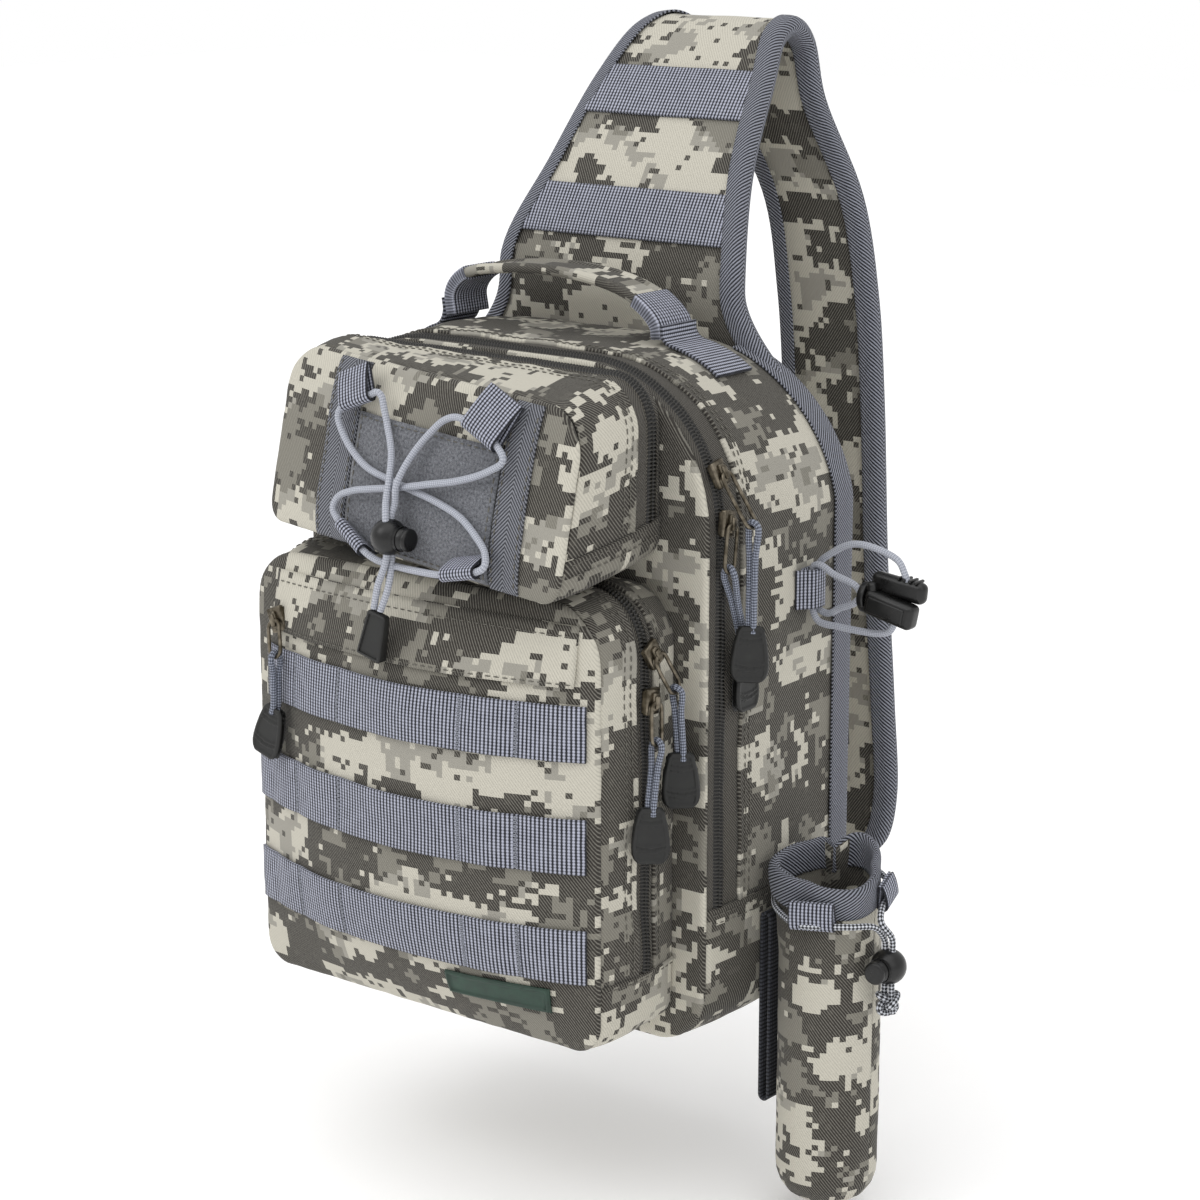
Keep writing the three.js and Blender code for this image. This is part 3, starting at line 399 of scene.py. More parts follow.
class Finish:
    """A material in the making. Its threads are a piece's own millimetres, kept in a UV map."""

    def __init__(self, name, roughness, specular, sheen=0.0, metallic=0.0):
        self.material = bpy.data.materials.new(name)
        self.material.use_nodes = True
        self.tree = self.material.node_tree
        self.skin = self.tree.nodes["Principled BSDF"].inputs
        sockets = ("Roughness", "Specular IOR Level", "Sheen Weight", "Metallic")
        for socket, value in zip(sockets, (roughness, specular, sheen, metallic)):
            self.skin[socket].default_value = value

    def threads(self):
        return add(self.tree, "UVMap", uv_map="threads").outputs[0]

    def split(self):
        return add(self.tree, "SeparateXYZ", {0: self.threads()}).outputs[:2]

    def place(self):
        return add(self.tree, "TexCoord").outputs["Object"]

    def math(self, operation, *values):
        return add(self.tree, "Math", dict(enumerate(values)), operation=operation).outputs[0]

    def vector(self, operation, *values):
        return add(self.tree, "VectorMath", dict(enumerate(values)), operation=operation).outputs

    def noise(self, place, scale, detail, rough=0.5, flat=False):
        inputs = {"Vector": place, "Scale": scale, "Detail": detail, "Roughness": rough}
        return add(self.tree, "TexNoise", inputs, noise_dimensions="2D" if flat else "3D").outputs["Fac"]

    def span(self, value, low, high, start=0.0, stop=1.0):
        return add(self.tree, "MapRange", {0: value, 1: low, 2: high, 3: start, 4: stop}).outputs[0]

    def mix(self, share, under, code):
        return add(self.tree, "Mix", {0: share, 6: under, 7: linear(code)}, data_type="RGBA").outputs[2]

    def done(self, colour, relief=None, gloss=None):
        """Joins up the colour, the relief as strength, distance and height, and the roughness."""
        self.tree.links.new(colour, self.skin["Base Color"])
        if relief:
            bump = add(self.tree, "Bump", dict(zip(("Strength", "Distance", "Height"), relief)))
            self.tree.links.new(bump.outputs[0], self.skin["Normal"])
        if gloss:
            self.tree.links.new(gloss, self.skin["Roughness"])
        return self.material


def printed_twill():
    """Polyester twill of 600 denier with a printed pixel camouflage. The eye sees hard-edged
    blocks about 3 mm wide in four greys, gathered into ragged areas as wide as a hand, and
    crossed by the slanting ribs of the weave, which show pale on the dark print. The ribs are
    under a millimetre apart and are drawn at 1.2 mm so that they show."""
    twill = Finish("printed_twill", 0.86, 0.25, 0.06)
    threads = twill.threads()
    block = twill.vector("SNAP", threads, (2.95, 2.65, 1))[0]
    fleck = add(twill.tree, "TexWhiteNoise", {"Vector": block}, noise_dimensions="2D").outputs["Value"]

    def patches(wide, tall, shift, detail, ragged):
        scaled = twill.vector("MULTIPLY_ADD", block, (1 / wide, 1 / tall, 1), (shift, shift * 1.7, 0))[0]
        return twill.math("MULTIPLY_ADD", fleck, ragged, twill.noise(scaled, 1.0, detail, 0.55, flat=True))

    large = patches(54, 39, 3.1, 3, 0.05)
    second = patches(27, 20, 17.3, 2, 0.08)
    small = patches(9, 7.5, 41.9, 1, 0.1)
    both = twill.math("ADD", large, second)
    prints = [
        (second, 0.62, "#96938a"), (large, 0.505, "#33302c"), (both, 1.225, "#76736a"),
        (small, 0.73, "#3f3c37"), (small, 0.79, "#c2beb1"),
    ]
    colour = linear("#c0bcaf")
    for field, limit, code in prints:
        colour = twill.mix(twill.math("GREATER_THAN", field, limit), colour, code)
    rib = twill.math("SINE", twill.vector("DOT_PRODUCT", threads, (4.3, 3.2, 0))["Value"])
    uneven = twill.math("MULTIPLY", rib, twill.noise(threads, 0.9, 2, flat=True))
    colour = twill.mix(twill.span(uneven, 0.04, 0.4, 0.0, 0.46), colour, "#98958b")
    return twill.done(colour, (0.4, 0.0004, uneven))


def woven_tape(name, dark, pale):
    """Nylon webbing: the warp stands in columns side by side, and the weft breaks each one into
    short pale dashes on a dark ground. The dashes are drawn a quarter longer so that they show."""
    tape = Finish(name, 0.8, 0.3, 0.08)
    column, row = 1.9, 1.45

    def ridge(value, pitch):
        wave = tape.math("COSINE", tape.math("MULTIPLY", value, FULL_TURN / pitch))
        return tape.math("MULTIPLY_ADD", wave, -0.5, 0.5)

    across, along = tape.split()
    broken = tape.math("MULTIPLY_ADD", ridge(along, row), 0.62, 0.38)
    grain = tape.math("MULTIPLY", ridge(across, column), broken)
    worn = tape.math("MULTIPLY_ADD", tape.noise(tape.threads(), 0.16, 4), 0.3, -0.15)
    shown = tape.math("ADD", tape.span(grain, 0.1, 0.62), worn)
    return tape.done(tape.mix(shown, linear(dark), pale), (0.7, 0.0005, grain))


def herringbone(name, dark, pale, pitch):
    """Polyester binding tape folded over an edge. Its ribs slant away from the fold on both
    faces, and each rib carries a painted highlight in turn. They are a millimetre apart and drawn a little coarser."""
    tape = Finish(name, 0.78, 0.3, 0.08)
    along, across = tape.split()
    slant = tape.math("MULTIPLY_ADD", tape.math("ABSOLUTE", across), 1.15, along)
    rib = tape.math("SINE", tape.math("MULTIPLY", slant, FULL_TURN / pitch))
    mixed = tape.math("MULTIPLY_ADD", tape.noise(tape.threads(), 1.3, 3), 1.1, rib)
    # Painted highlight: the pale colour follows each rib's crest, with a little random mottle mixed in.
    return tape.done(tape.mix(tape.span(mixed, -0.2, 1.3), linear(dark), pale), (0.8, 0.0005, rib))


def nylon_coil():
    """Nylon monofilament wound into the teeth of a zip: glossy black loops 1.7 mm apart, each
    with a painted grey highlight along its crest and a dark gap beside it."""
    coil = Finish("nylon_coil", 0.3, 0.35)
    crest = coil.math("COSINE", coil.math("MULTIPLY", coil.split()[0], FULL_TURN / COIL_PITCH))
    # Painted highlight: each loop's crest is painted grey, and the rest of the loop keeps the coil's black.
    return coil.done(coil.mix(coil.span(crest, 0.1, 1.0), linear("#080807"), "#383632"))


def loop_pile():
    """Brushed nylon loop pile, the soft half of a touch fastener: a matt felt of tiny loops
    with pale fibre ends, and no weave to be seen."""
    felt = Finish("loop_pile", 1.0, 0.1, 0.3)
    fuzz = felt.noise(felt.threads(), 0.8, 6, 0.75)
    return felt.done(felt.mix(felt.span(fuzz, 0.34, 0.66), linear("#34363b"), "#86888e"), (0.9, 0.0008, fuzz))


def braided(name, ground, fleck, along, around, share):
    """Braided sleeve of a cord: two sets of yarn cross on the slant, so flecks of the second
    colour climb round the cord in turn."""
    sleeve = Finish(name, 0.7, 0.35, 0.1)
    pitches = zip(sleeve.split(), (along, around))
    length, girth = [sleeve.math("MULTIPLY", value, FULL_TURN / pitch) for value, pitch in pitches]
    yarns = [sleeve.math("SINE", sleeve.math(way, length, girth)) for way in ("ADD", "SUBTRACT")]
    cross = sleeve.math("MULTIPLY", *yarns)
    shown = sleeve.span(cross, share - 0.25, share + 0.25)
    return sleeve.done(sleeve.mix(shown, linear(ground), fleck), (0.5, 0.0003, cross))


def moulded(name, dark, pale, roughness, grit):
    """A moulded part in one colour: a fine even texture off the mould, a little paler where it
    is rubbed."""
    part = Finish(name, roughness, 0.45)
    texture = part.noise(part.place(), 1 / (grit * MM), 3)
    rubbed = part.noise(part.place(), 160.0, 4)
    gloss = part.span(rubbed, 0.3, 0.7, roughness - 0.08, roughness + 0.08)
    colour = part.mix(part.span(rubbed, 0.42, 0.75), linear(dark), pale)
    return part.done(colour, (0.2, 0.0002, texture), gloss)


def antique_zinc():
    """Die-cast zinc with an antique brass plating, tumbled dull, darker in the hollows."""
    metal = Finish("antique_zinc", 0.38, 0.5, 0.0, 1.0)
    stain = metal.noise(metal.place(), 260.0, 5)
    colour = metal.mix(metal.span(stain, 0.35, 0.65), linear("#4a4439"), "#80786a")
    return metal.done(colour, gloss=metal.span(stain, 0.3, 0.7, 0.46, 0.3))


def plain_thread(name, dark, pale):
    """Bonded polyester thread, slightly glossy, twisted from a darker and a paler yarn."""
    thread = Finish(name, 0.6, 0.4)
    return thread.done(thread.mix(thread.noise(thread.place(), 900.0, 2), linear(dark), pale))


# Each finish is a material with the slot that it goes by. The coil is a second material on zips.
TWILL = printed_twill(), "camo_cloth"
WEBBING_GREY = woven_tape("nylon_webbing", "#191b22", "#adb0bf"), "webbing"
BAND_GREY = herringbone("slate_band", "#33353c", "#8e9098", 1.9), "webbing"
STRAP_DARK = woven_tape("dark_webbing", "#121317", "#3b3d44"), "webbing"
BINDING = herringbone("herringbone_binding", "#181a20", "#9699a5", 1.9), "binding_tape"
PILE_FELT = loop_pile(), "loop_pile"
ZIP_TAPE = herringbone("zip_tape", "#34312c", "#68645c", 1.6), "zip_tape"
ELASTIC = braided("elastic_sleeve", "#8d919c", "#b9bcc5", 2.4, 1.68, 0.0), "elastic_cord"
DRAWSTRING = braided("flecked_drawcord", "#26272b", "#c9ccd3", 3.4, 3.14, 0.12), "draw_cord"
PULL_BRAID = braided("pull_cord", "#3c404b", "#9298a7", 2.6, 1.9, 0.1), "draw_cord"
BLACK_RUBBER = moulded("moulded_rubber", "#131312", "#222321", 0.55, 0.35), "black_rubber"
BLACK_PLASTIC = moulded("moulded_acetal", "#0a0a0a", "#161616", 0.32, 0.5), "black_plastic"
LABEL_RUBBER = moulded("label_rubber", "#1d3329", "#2b4438", 0.5, 0.3), "label_rubber"
ZINC = antique_zinc(), "slider_metal"
THREAD = plain_thread("sewing_thread", "#3b3934", "#77746b"), "webbing"
TACK_THREAD = plain_thread("tack_thread", "#5f626b", "#8f929b"), "webbing"
ZIP_COIL = nylon_coil()


# Pieces
def linked(name, data):
    made = bpy.data.objects.new(name, data)
    bpy.context.scene.collection.objects.link(made)
    return made


def shown(name, data, finish, nodes, body="bag"):
    made = linked(name, data)
    data.materials.append(finish[0])
    data.shade_smooth()
    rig.ride(made, body)
    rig.slot(made, finish[1])
    if nodes:
        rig.replaces(made, *nodes)
    return made


def piece(name, mesh, finish, nodes=(), body="bag", sharp=None):
    data = bpy.data.meshes.new(name)
    mesh.to_mesh(data)
    mesh.free()
    made = shown(name, data, finish, nodes, body)
    if sharp:
        data.set_sharp_from_angle(angle=math.radians(sharp))
    return made


def thicken(made, thick, offset=-1):
    wall = made.modifiers.new("wall", "SOLIDIFY")
    wall.thickness = thick * MM
    wall.offset = offset
    return made


def laid(face, us, vs, shift=(0, 0)):
    """A grid laid over a face, with the cloth's own millimetres as its threads. A face gives a
    point, the way out of it there, and the threads."""
    mesh = bmesh.new()
    threads = mesh.loops.layers.uv.new("threads")
    nu, nv = len(us) - 1, len(vs) - 1
    bmesh.ops.create_grid(mesh, x_segments=nu, y_segments=nv, size=0.5)
    spots = {}
    for vert in mesh.verts:
        spots[vert] = face(us[round((vert.co.x + 0.5) * nu)], vs[round((vert.co.y + 0.5) * nv)])
        vert.co = at_rest(spots[vert][0])
    facing = 0
    for cell in mesh.faces:
        cell.normal_update()
        facing += cell.normal.dot(spots[cell.verts[0]][1])
        for loop in cell.loops:
            s, t = spots[loop.vert][2]
            loop[threads].uv = (s + shift[0], t + shift[1])
    if facing < 0:
        bmesh.ops.reverse_faces(mesh, faces=mesh.faces[:])
    bmesh.ops.remove_doubles(mesh, verts=mesh.verts[:], dist=1e-6)
    return mesh


def cloth(name, face, us, vs, thick, finish, shift=(0, 0), offset=-1):
    """A wall of cloth over a face, in place of the solid that has its name."""
    return thicken(piece(name, laid(face, us, vs, shift), finish, [name]), thick, offset)


def raised(face, lift):
    def at(u, v):
        p, n, st = face(u, v)
        return p + n * (lift(u, v) if callable(lift) else lift), n, st

    return at


def smooth(points):
    """A smooth line through points, read by a point's number."""
    points = [Vector(p) for p in points]
    line = [2 * points[0] - points[1], *points, 2 * points[-1] - points[-2]]

    def at(t):
        i = min(max(int(t), 0), len(points) - 2)
        a, b, c, d = line[i : i + 4]
        w = t - i
        g, h, k = [max(1e-4, (q - p).length) ** 0.5 for p, q in ((a, b), (b, c), (c, d))]
        start = ((b - a) / g - (c - a) / (g + h) + (c - b) / h) * h
        stop = ((c - b) / h - (d - b) / (h + k) + (d - c) / k) * h
        return b + start * w + (3 * (c - b) - 2 * start - stop) * w * w + (2 * (b - c) + start + stop) * w**3

    return at


def evenly(points, step):
    """Points at an even step along a smooth line through the given ones."""
    fine = 24
    at = smooth(points)
    dense = [at(i / fine) for i in range((len(points) - 1) * fine + 1)]
    run = runs(dense)
    count = max(2, round(run[-1] / step))
    found = []
    i = 0
    for k in range(count + 1):
        want = run[-1] * k / count
        while i < len(run) - 2 and run[i + 1] < want:
            i += 1
        found.append(dense[i].lerp(dense[i + 1], clamp((want - run[i]) / max(1e-9, run[i + 1] - run[i]))))
    return found


def cord(name, route, radius, finish, nodes=(), step=1.6):
    """A round cord along a route, with threads along and round it. Gives the piece and its path."""
    path = evenly(route, step)
    line = bpy.data.curves.new(name, "CURVE")
    line.dimensions = "3D"
    line.bevel_depth = radius * MM
    line.bevel_resolution = 3
    line.use_fill_caps = True
    spline = line.splines.new("POLY")
    spline.points.add(len(path) - 1)
    for point, p in zip(spline.points, path):
        point.co = (*at_rest(p), 1)
    drawn = linked(name, line)
    bpy.context.view_layer.update()
    data = bpy.data.meshes.new_from_object(drawn.evaluated_get(bpy.context.evaluated_depsgraph_get()))
    bpy.data.objects.remove(drawn)
    bpy.data.curves.remove(line)
    data.name = name
    data.uv_layers[0].name = "threads"
    length = runs(path)[-1]
    for corner in data.uv_layers[0].data:
        corner.uv = (corner.uv[0] * length, corner.uv[1] * FULL_TURN * radius)
    return shown(name, data, finish, nodes), [at_rest(p) for p in path]


def declare_cord(made, path, radius, far_end, lay, pieces):
    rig.cord(
        made,
        exit=path[0],
        length=runs(path)[-1],
        diameter=2 * radius * MM,
        far_end=far_end,
        stiffness="limp",
        lay=lay,
        path=path,
        with_pieces=pieces,
    )


# Camera, light and floor
scene = bpy.context.scene
camera = linked("camera", bpy.data.cameras.new("camera"))
camera.data.sensor_width = 36
camera.data.lens = 90.41
camera.location = (0.8670, -1.2099, 0.0820)
aim = Vector((0.06617, -0.18652, -0.24119)) - camera.location
camera.rotation_euler = aim.to_track_quat("-Z", "Y").to_euler()
scene.camera = camera
scene.view_settings.view_transform = "Standard"

# The camera sees a white room, and the bag is lit by one a little less bright.
WHITE = linear("#ffffff")
scene.world = bpy.data.worlds.new("studio")
scene.world.use_nodes = True
sky = scene.world.node_tree
lit, seen = [add(sky, "Background", {0: WHITE, 1: bright}).outputs[0] for bright in (0.85, 1.0)]
to_camera = add(sky, "LightPath").outputs["Is Camera Ray"]
both_skies = add(sky, "MixShader", {0: to_camera, 1: lit, 2: seen}).outputs[0]
sky.links.new(both_skies, sky.nodes["World Output"].inputs[0])

sun = linked("overhead", bpy.data.lights.new("overhead", "SUN"))
sun.data.energy = 0.7
sun.data.angle = math.radians(60)
sun.rotation_euler = Vector((-0.1, 0.3, -1.0)).to_track_quat("-Z", "Y").to_euler()
LIT_SPOT = Vector((0.05, -0.1, -0.25))
for name, spot, power in (("key", Vector((-0.7, -1.5, 1.0)), 7), ("fill", Vector((1.5, -0.8, 0.5)), 2)):
    lamp = linked(name, bpy.data.lights.new(name, "AREA"))
    lamp.data.size = 0.9
    lamp.data.energy = power
    lamp.location = spot
    lamp.rotation_euler = (LIT_SPOT - spot).to_track_quat("-Z", "Y").to_euler()

# White board that glows a little, so that the shadow on it stays pale.
board = Finish("studio_floor", 0.9, 0.1)
board.skin["Base Color"].default_value = WHITE
board.skin["Emission Color"].default_value = linear("#fffaf5")
board.skin["Emission Strength"].default_value = 0.09
ground = bmesh.new()
bmesh.ops.create_grid(ground, x_segments=1, y_segments=1, size=6)
bmesh.ops.translate(ground, verts=ground.verts[:], vec=(0, 0, (TUBE.low - HANG.z - 2.5) * MM))
floor = linked("floor", bpy.data.meshes.new("floor"))
ground.to_mesh(floor.data)
ground.free()
floor.data.materials.append(board.material)
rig.stage(floor)

# Cords
front_cord, front_path = cord("laced_cord", LACING, ELASTIC_CORD, ELASTIC, ["front_cord"])
side_cord, side_path = cord("tie_cord", TIE, ELASTIC_CORD, ELASTIC, ["side_cord"])


def on_tube(degrees, radius):
    """A point round the tube's mouth at the height of the drawcord."""
    a = math.radians(degrees)
    y = radius * math.sin(a)
    z = TUBE.mouth - DRAW.drop + TUBE.slant * y / TUBE.radius
    return Vector((TUBE.x + radius * math.cos(a), TUBE.y + y, z))


def draw_route():
    """The drawcord: up through the lock, through the right loop, round the back, through the front
    loop and down through the lock."""
    in_loop, behind, half = DRAW.radius + 0.7, DRAW.radius - 1.2, 13
    start, stop = moved(TUBE_LOCK, LOCK.side, 0, 0), moved(TUBE_LOCK, -LOCK.side, 0, 0)
    return [
        *[moved(start, *by) for by in ((1, 0, -22), (0, 0, -12), (0, 0, 8), (0, -0.6, 14))],
        moved(on_tube(RIGHT_ANGLE - 24, DRAW.radius + 4.5), 0, 0, -4),
        *[on_tube(RIGHT_ANGLE + a, in_loop) for a in (-half, half)],
        *[on_tube(a, behind) for a in spread(RIGHT_ANGLE + 40, FRONT_ANGLE + 320, 24)],
        *[on_tube(FRONT_ANGLE + a, in_loop) for a in (-half, half)],
        moved(on_tube(FRONT_ANGLE + 36, DRAW.radius + 2.8), 0, 0, -1),
        moved(on_tube(FRONT_ANGLE + 58, DRAW.radius + 4), 0, 0, -5),
        *[moved(stop, *by) for by in ((0, -0.6, 12), (0, 0, 7), (0, 0, -12), (-0.5, 0, -21))],
    ]


def knot_route(centre, size):
    """The knot: one trefoil of cord."""
    return [
        moved(
            centre,
            size * (math.sin(a) + 2 * math.sin(2 * a)) / 3,
            size * 0.7 * -math.sin(3 * a),
            size * (math.cos(a) - 2 * math.cos(2 * a)) / 3,
        )
        for a in [FULL_TURN * i / 30 for i in range(29)]
    ]


tube_cord, tube_path = cord("tube_drawcord", draw_route(), DRAW.cord, DRAWSTRING, ["tube_cord"])
knot_at = moved(TUBE_LOCK, 0, 0, -17)
tube_knot, _ = cord("drawcord_knot", knot_route(knot_at, 5.2), DRAW.cord, DRAWSTRING, step=1.0)


# The faces that the cloth lies on
class Outline:
    """A compartment's rounded outline, walked from the middle of its bottom toward the right."""

    def __init__(self, c):
        self.c = c
        self.flat = c.half - c.base
        upright = c.high - c.low - c.top - c.base
        bend, shoulder = (c.base * math.pi / 2, c.base), (c.top * math.pi / 2, c.top)
        half = [(self.flat, 0), bend, (upright, 0), shoulder]
        walk = [*half, (2 * (c.half - c.top), 0), *reversed(half)]
        self.total = sum(length for length, _ in walk)
        self.runs = []
        x, z, way, start = 0.0, c.low, 0.0, 0.0
        for length, radius in walk:
            self.runs.append((start, radius, x, z, way))
            x, z, way = self.step(length, radius, x, z, way)
            start += length

    @staticmethod
    def step(d, radius, x, z, way):
        if not radius:
            return x + d * math.cos(way), z + d * math.sin(way), way
        turned = way + d / radius
        x += radius * (math.sin(turned) - math.sin(way))
        z += radius * (math.cos(way) - math.cos(turned))
        return x, z, turned

    def at(self, d):
        d %= self.total
        run = [r for r in self.runs if r[0] <= d][-1]
        x, z, way = self.step(d - run[0], *run[1:])
        return x, z, math.sin(way), -math.cos(way)

    def side_at(self, z):
        return self.flat + self.c.base * math.pi / 2 + z - self.c.low - self.c.base

    def top_at(self, x):
        c = self.c
        straight = self.side_at(c.high - c.top) + c.top * math.pi / 2
        over = math.asin(clamp((abs(x) - c.half + c.top) / c.top))
        inside = max(0, c.half - c.top - abs(x))
        if x > 0:
            return straight - over * c.top + inside
        return straight + 2 * (c.half - c.top) + over * c.top - inside


def lean_at(c, z):
    return -c.lean * clamp((z - LEAN_FROM) / (MAIN.high - LEAN_FROM))


def settle(c, p):
    """How a filled pocket hangs: deeper low down, turned a little, and lower toward its right."""
    share = min(1, (c.rear - p.y) / c.depth)
    p.y -= share * (c.deep * ((c.low + c.high) / 2 - p.z) + c.turn * p.x)
    p.z -= share * c.droop * (p.x + DROOP_FROM)
    return p


def gusset_face(c, seed):
    """A compartment's side, by the way d along its outline and the way q back from its front."""

    def at(d, q):
        x, z, nx, nz = c.line.at(d)
        share = q / c.depth
        y = c.front + share * (c.depth + lean_at(c, z))
        swell = c.bulge + rumple(d, q, SIDE_DENTS, seed)
        n = Vector((nx, 0, nz))
        return settle(c, Vector((x, y, z)) + n * math.sin(math.pi * clamp(share)) * swell), n, (q, d)

    return at


def half_at(c, z):
    top = z - (c.high - c.top)
    base = c.low + c.base - z
    if top > 0:
        return c.half - c.top + math.sqrt(max(0, c.top**2 - top**2))
    if base > 0:
        return c.half - c.base + math.sqrt(max(0, c.base**2 - base**2))
    return c.half


def edge_of(c, x, z):
    """How far a point is inside a compartment's outline."""
    top, base = c.high - c.top, c.low + c.base
    for radius, corner, beyond in ((c.top, top, z > top), (c.base, base, z < base)):
        dx = abs(x) - (c.half - radius)
        if beyond and dx > 0:
            return radius - math.hypot(dx, z - corner)
    return min(c.half - abs(x), z - c.low, c.high - z)


def front_face(c, seed):
    """A compartment's front: crowned, dented, rolled over at its edge and puckered near it."""
    middle = (c.low + c.high) / 2
    rise = (c.high - c.low) / 2
    skin = c.front - GAP - CLOTH * (c.deep + c.turn) - CLOTH
    roll_reach, roll_back = 2.4, 1.9
    pucker_reach, pucker_rise = 14, 0.45

    def at(x, z):
        u = clamp(abs(x) / c.half)
        v = clamp(abs(z - middle) / rise)
        slack = c.dome + rumple(x, z, FRONT_DENTS, seed)
        inside = edge_of(c, x, z)
        edge = clamp(1 - inside / roll_reach)
        roll = roll_back * (1 - math.sqrt(1 - edge * edge))
        pucker = pucker_rise * dent(x * 2, z * 2, 15, seed + 9) * clamp(1 - inside / pucker_reach)
        y = skin - (1 - u**c.crown) * (1 - v**4) * slack + roll + pucker
        return settle(c, Vector((x, y, z))), -BACK, (x, z)

    return at


for c in (MAIN, UPPER, LOWER):
    c.depth = c.rear - c.front
    c.line = Outline(c)
    c.side = gusset_face(c, c.side_seed)
    c.plane = front_face(c, c.front_seed)


def heights(c, step):
    turns = [math.pi / 2 * i / 12 for i in range(13)]
    return [
        *[c.low + c.base * (1 - math.cos(a)) for a in turns],
        *spread(c.low + c.base, c.high - c.top, step)[1:-1],
        *[c.high - c.top * (1 - math.sin(a)) for a in turns],
    ]


def panel(name, c, face, step, thick, shift):
    """A panel that fills a compartment's outline, with closer rows near its edge."""
    across = [-1, -0.993, -0.98, -0.965, *spread(-0.95, 0.95, step / c.half), 0.965, 0.98, 0.993, 1]
    return cloth(name, lambda u, z: face(u * half_at(c, z), z), across, heights(c, step), thick, TWILL, shift)


def seamed(face, q0, q1, low, high):
    """The face with its two long edges moved in or out into their seams, and puckered there."""
    tuck_reach, pucker_reach, pucker_rise = 3.5, 9, 0.4

    def at(d, q):
        p, n, st = face(d, q)
        near, far = q - q0, q1 - q
        move = low * clamp(1 - near / tuck_reach) ** 2 + high * clamp(1 - far / tuck_reach) ** 2
        pucker = pucker_rise * dent(d, q, 7, 3.3) * clamp(1 - min(near, far) / pucker_reach)
        return p + n * (move + pucker), n, st

    return at


def arch(c, step):
    """The way along an outline from one end of its zip to the other."""
    start = c.line.side_at(c.zip.end)
    return spread(start, c.line.total - start, step)


def columns(q0, q1):
    """Ways back across a gusset, closer at its seams."""
    steps = (0, 0.6, 1.4, 2.6)
    inner = spread(q0 + 4, q1 - 4, 3)
    return [*[q0 + step for step in steps], *inner, *[q1 - step for step in reversed(steps)]]


def gusset(name, c, q0, q1, low, high, shift):
    cloth(name, seamed(c.side, q0, q1, low, high), arch(c, 3), columns(q0, q1), CLOTH, TWILL, shift)


def base(name, c, shift):
    """The cloth under a compartment, lapped over the gusset at both ends."""
    end = c.line.side_at(c.zip.end) - GAP
    tuck = seamed(c.side, 0, c.depth, -1.2, -0.6)
    lapped = raised(tuck, lambda d, _: 0.9 * clamp(1 - (end - abs(d)) / 4))
    cloth(name, lapped, spread(-end, end, 3), columns(0, c.depth), CLOTH, TWILL, shift)


def zip_band(name, c):
    """The woven tapes of a zip with its coil: two rows of loops that stand between each other."""
    coil, half_row = c.zip.q, 2.9
    tape_lift, coil_lift, coil_rise = -0.9, -0.5, 1.7

    def at(d, q):
        p, n, _ = c.side(d, q)
        lift = tape_lift
        across = abs(q - coil)
        along = d + math.copysign(COIL_PITCH / 4, q - coil)
        if across < half_row:
            crest = 0.5 + 0.5 * math.cos(FULL_TURN * along / COIL_PITCH)
            round_off = math.sqrt(1 - ((across - half_row / 2) / (half_row / 2)) ** 2)
            lift = coil_lift + coil_rise * round_off * (0.35 + 0.65 * crest)
        return p + n * lift, n, (along, q - coil)

    teeth = [coil + half_row * k / 6 for k in range(-6, 7)]
    beyond = half_row + 0.2
    rows = [*spread(c.zip.q0, coil - beyond, 2), *teeth, *spread(coil + beyond, c.zip.q1, 2)]
    made = cloth(name, at, arch(c, COIL_PITCH / 4), rows, TAPE_WALL, ZIP_TAPE)
    made.data.materials.append(ZIP_COIL)
    threads = made.data.uv_layers["threads"].data
    for cell in made.data.polygons:
        middle = sum(threads[i].uv[1] for i in cell.loop_indices) / len(cell.loop_indices)
        if abs(middle) < half_row:
            cell.material_index = 1


gusset("main_gusset", MAIN, MAIN.zip.q1 + GAP, MAIN.depth, 0.7, -0.8, (40, 0))
base("main_base", MAIN, (330, 80))
zip_band("main_zip", MAIN)
panel("main_front", MAIN, MAIN.plane, 6, CLOTH, (210, 500))

panel("upper_front", UPPER, UPPER.plane, 2.6, CLOTH, (60, 20))
gusset("upper_gusset", UPPER, 0, UPPER.zip.q0 - GAP, -0.6, 0.7, (150, 260))
zip_band("upper_zip", UPPER)
base("upper_base", UPPER, (480, 30))

panel("lower_front", LOWER, LOWER.plane, 2.6, CLOTH, (700, 340))
gusset("lower_gusset_front", LOWER, 0, LOWER.zip.q0 - GAP, -0.6, 0.7, (90, 610))
zip_band("lower_zip", LOWER)
gusset("lower_gusset_rear", LOWER, LOWER.zip.q1 + GAP, LOWER.depth, 0.7, -0.6, (620, 130))
base("lower_base", LOWER, (20, 420))


def back_plane(x, z):
    crown = (1 - clamp(abs(x) / MAIN.half) ** 6) * (1 - abs(2 * z / MAIN.high - 1) ** 6)
    puff = crown * (1.6 + dent(x, z, 50, 12.5))
    edge = clamp(1 - edge_of(MAIN, x, z) / 9)
    return Vector((x, lean_at(MAIN, z) + GAP + BACK_PAD + puff - 3 * edge * edge, z)), BACK, (x, z)


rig.padded(panel("back_panel", MAIN, back_plane, 4, BACK_WALL, (140, 800)), 0.6)


def taped(name, line, frames, section, thick, finish, offset=-1):
    """A tape run along a line: section gives its surface as (out, up) in each point's frame."""
    section = [Vector(s) for s in section]
    run, width = runs(line), runs(section)

    def at(i, k):
        out, up = frames[i]
        p = line[i] + out * section[k].x + up * section[k].y
        return p, square_to(section, k, out, up), (run[i], width[k] - width[-1] / 2)

    cloth(name, at, range(len(line)), range(len(section)), thick, finish, offset=offset)


def rounded_section(points, step):
    return [p.xy for p in evenly([(a, b, 0) for a, b in points], step)]


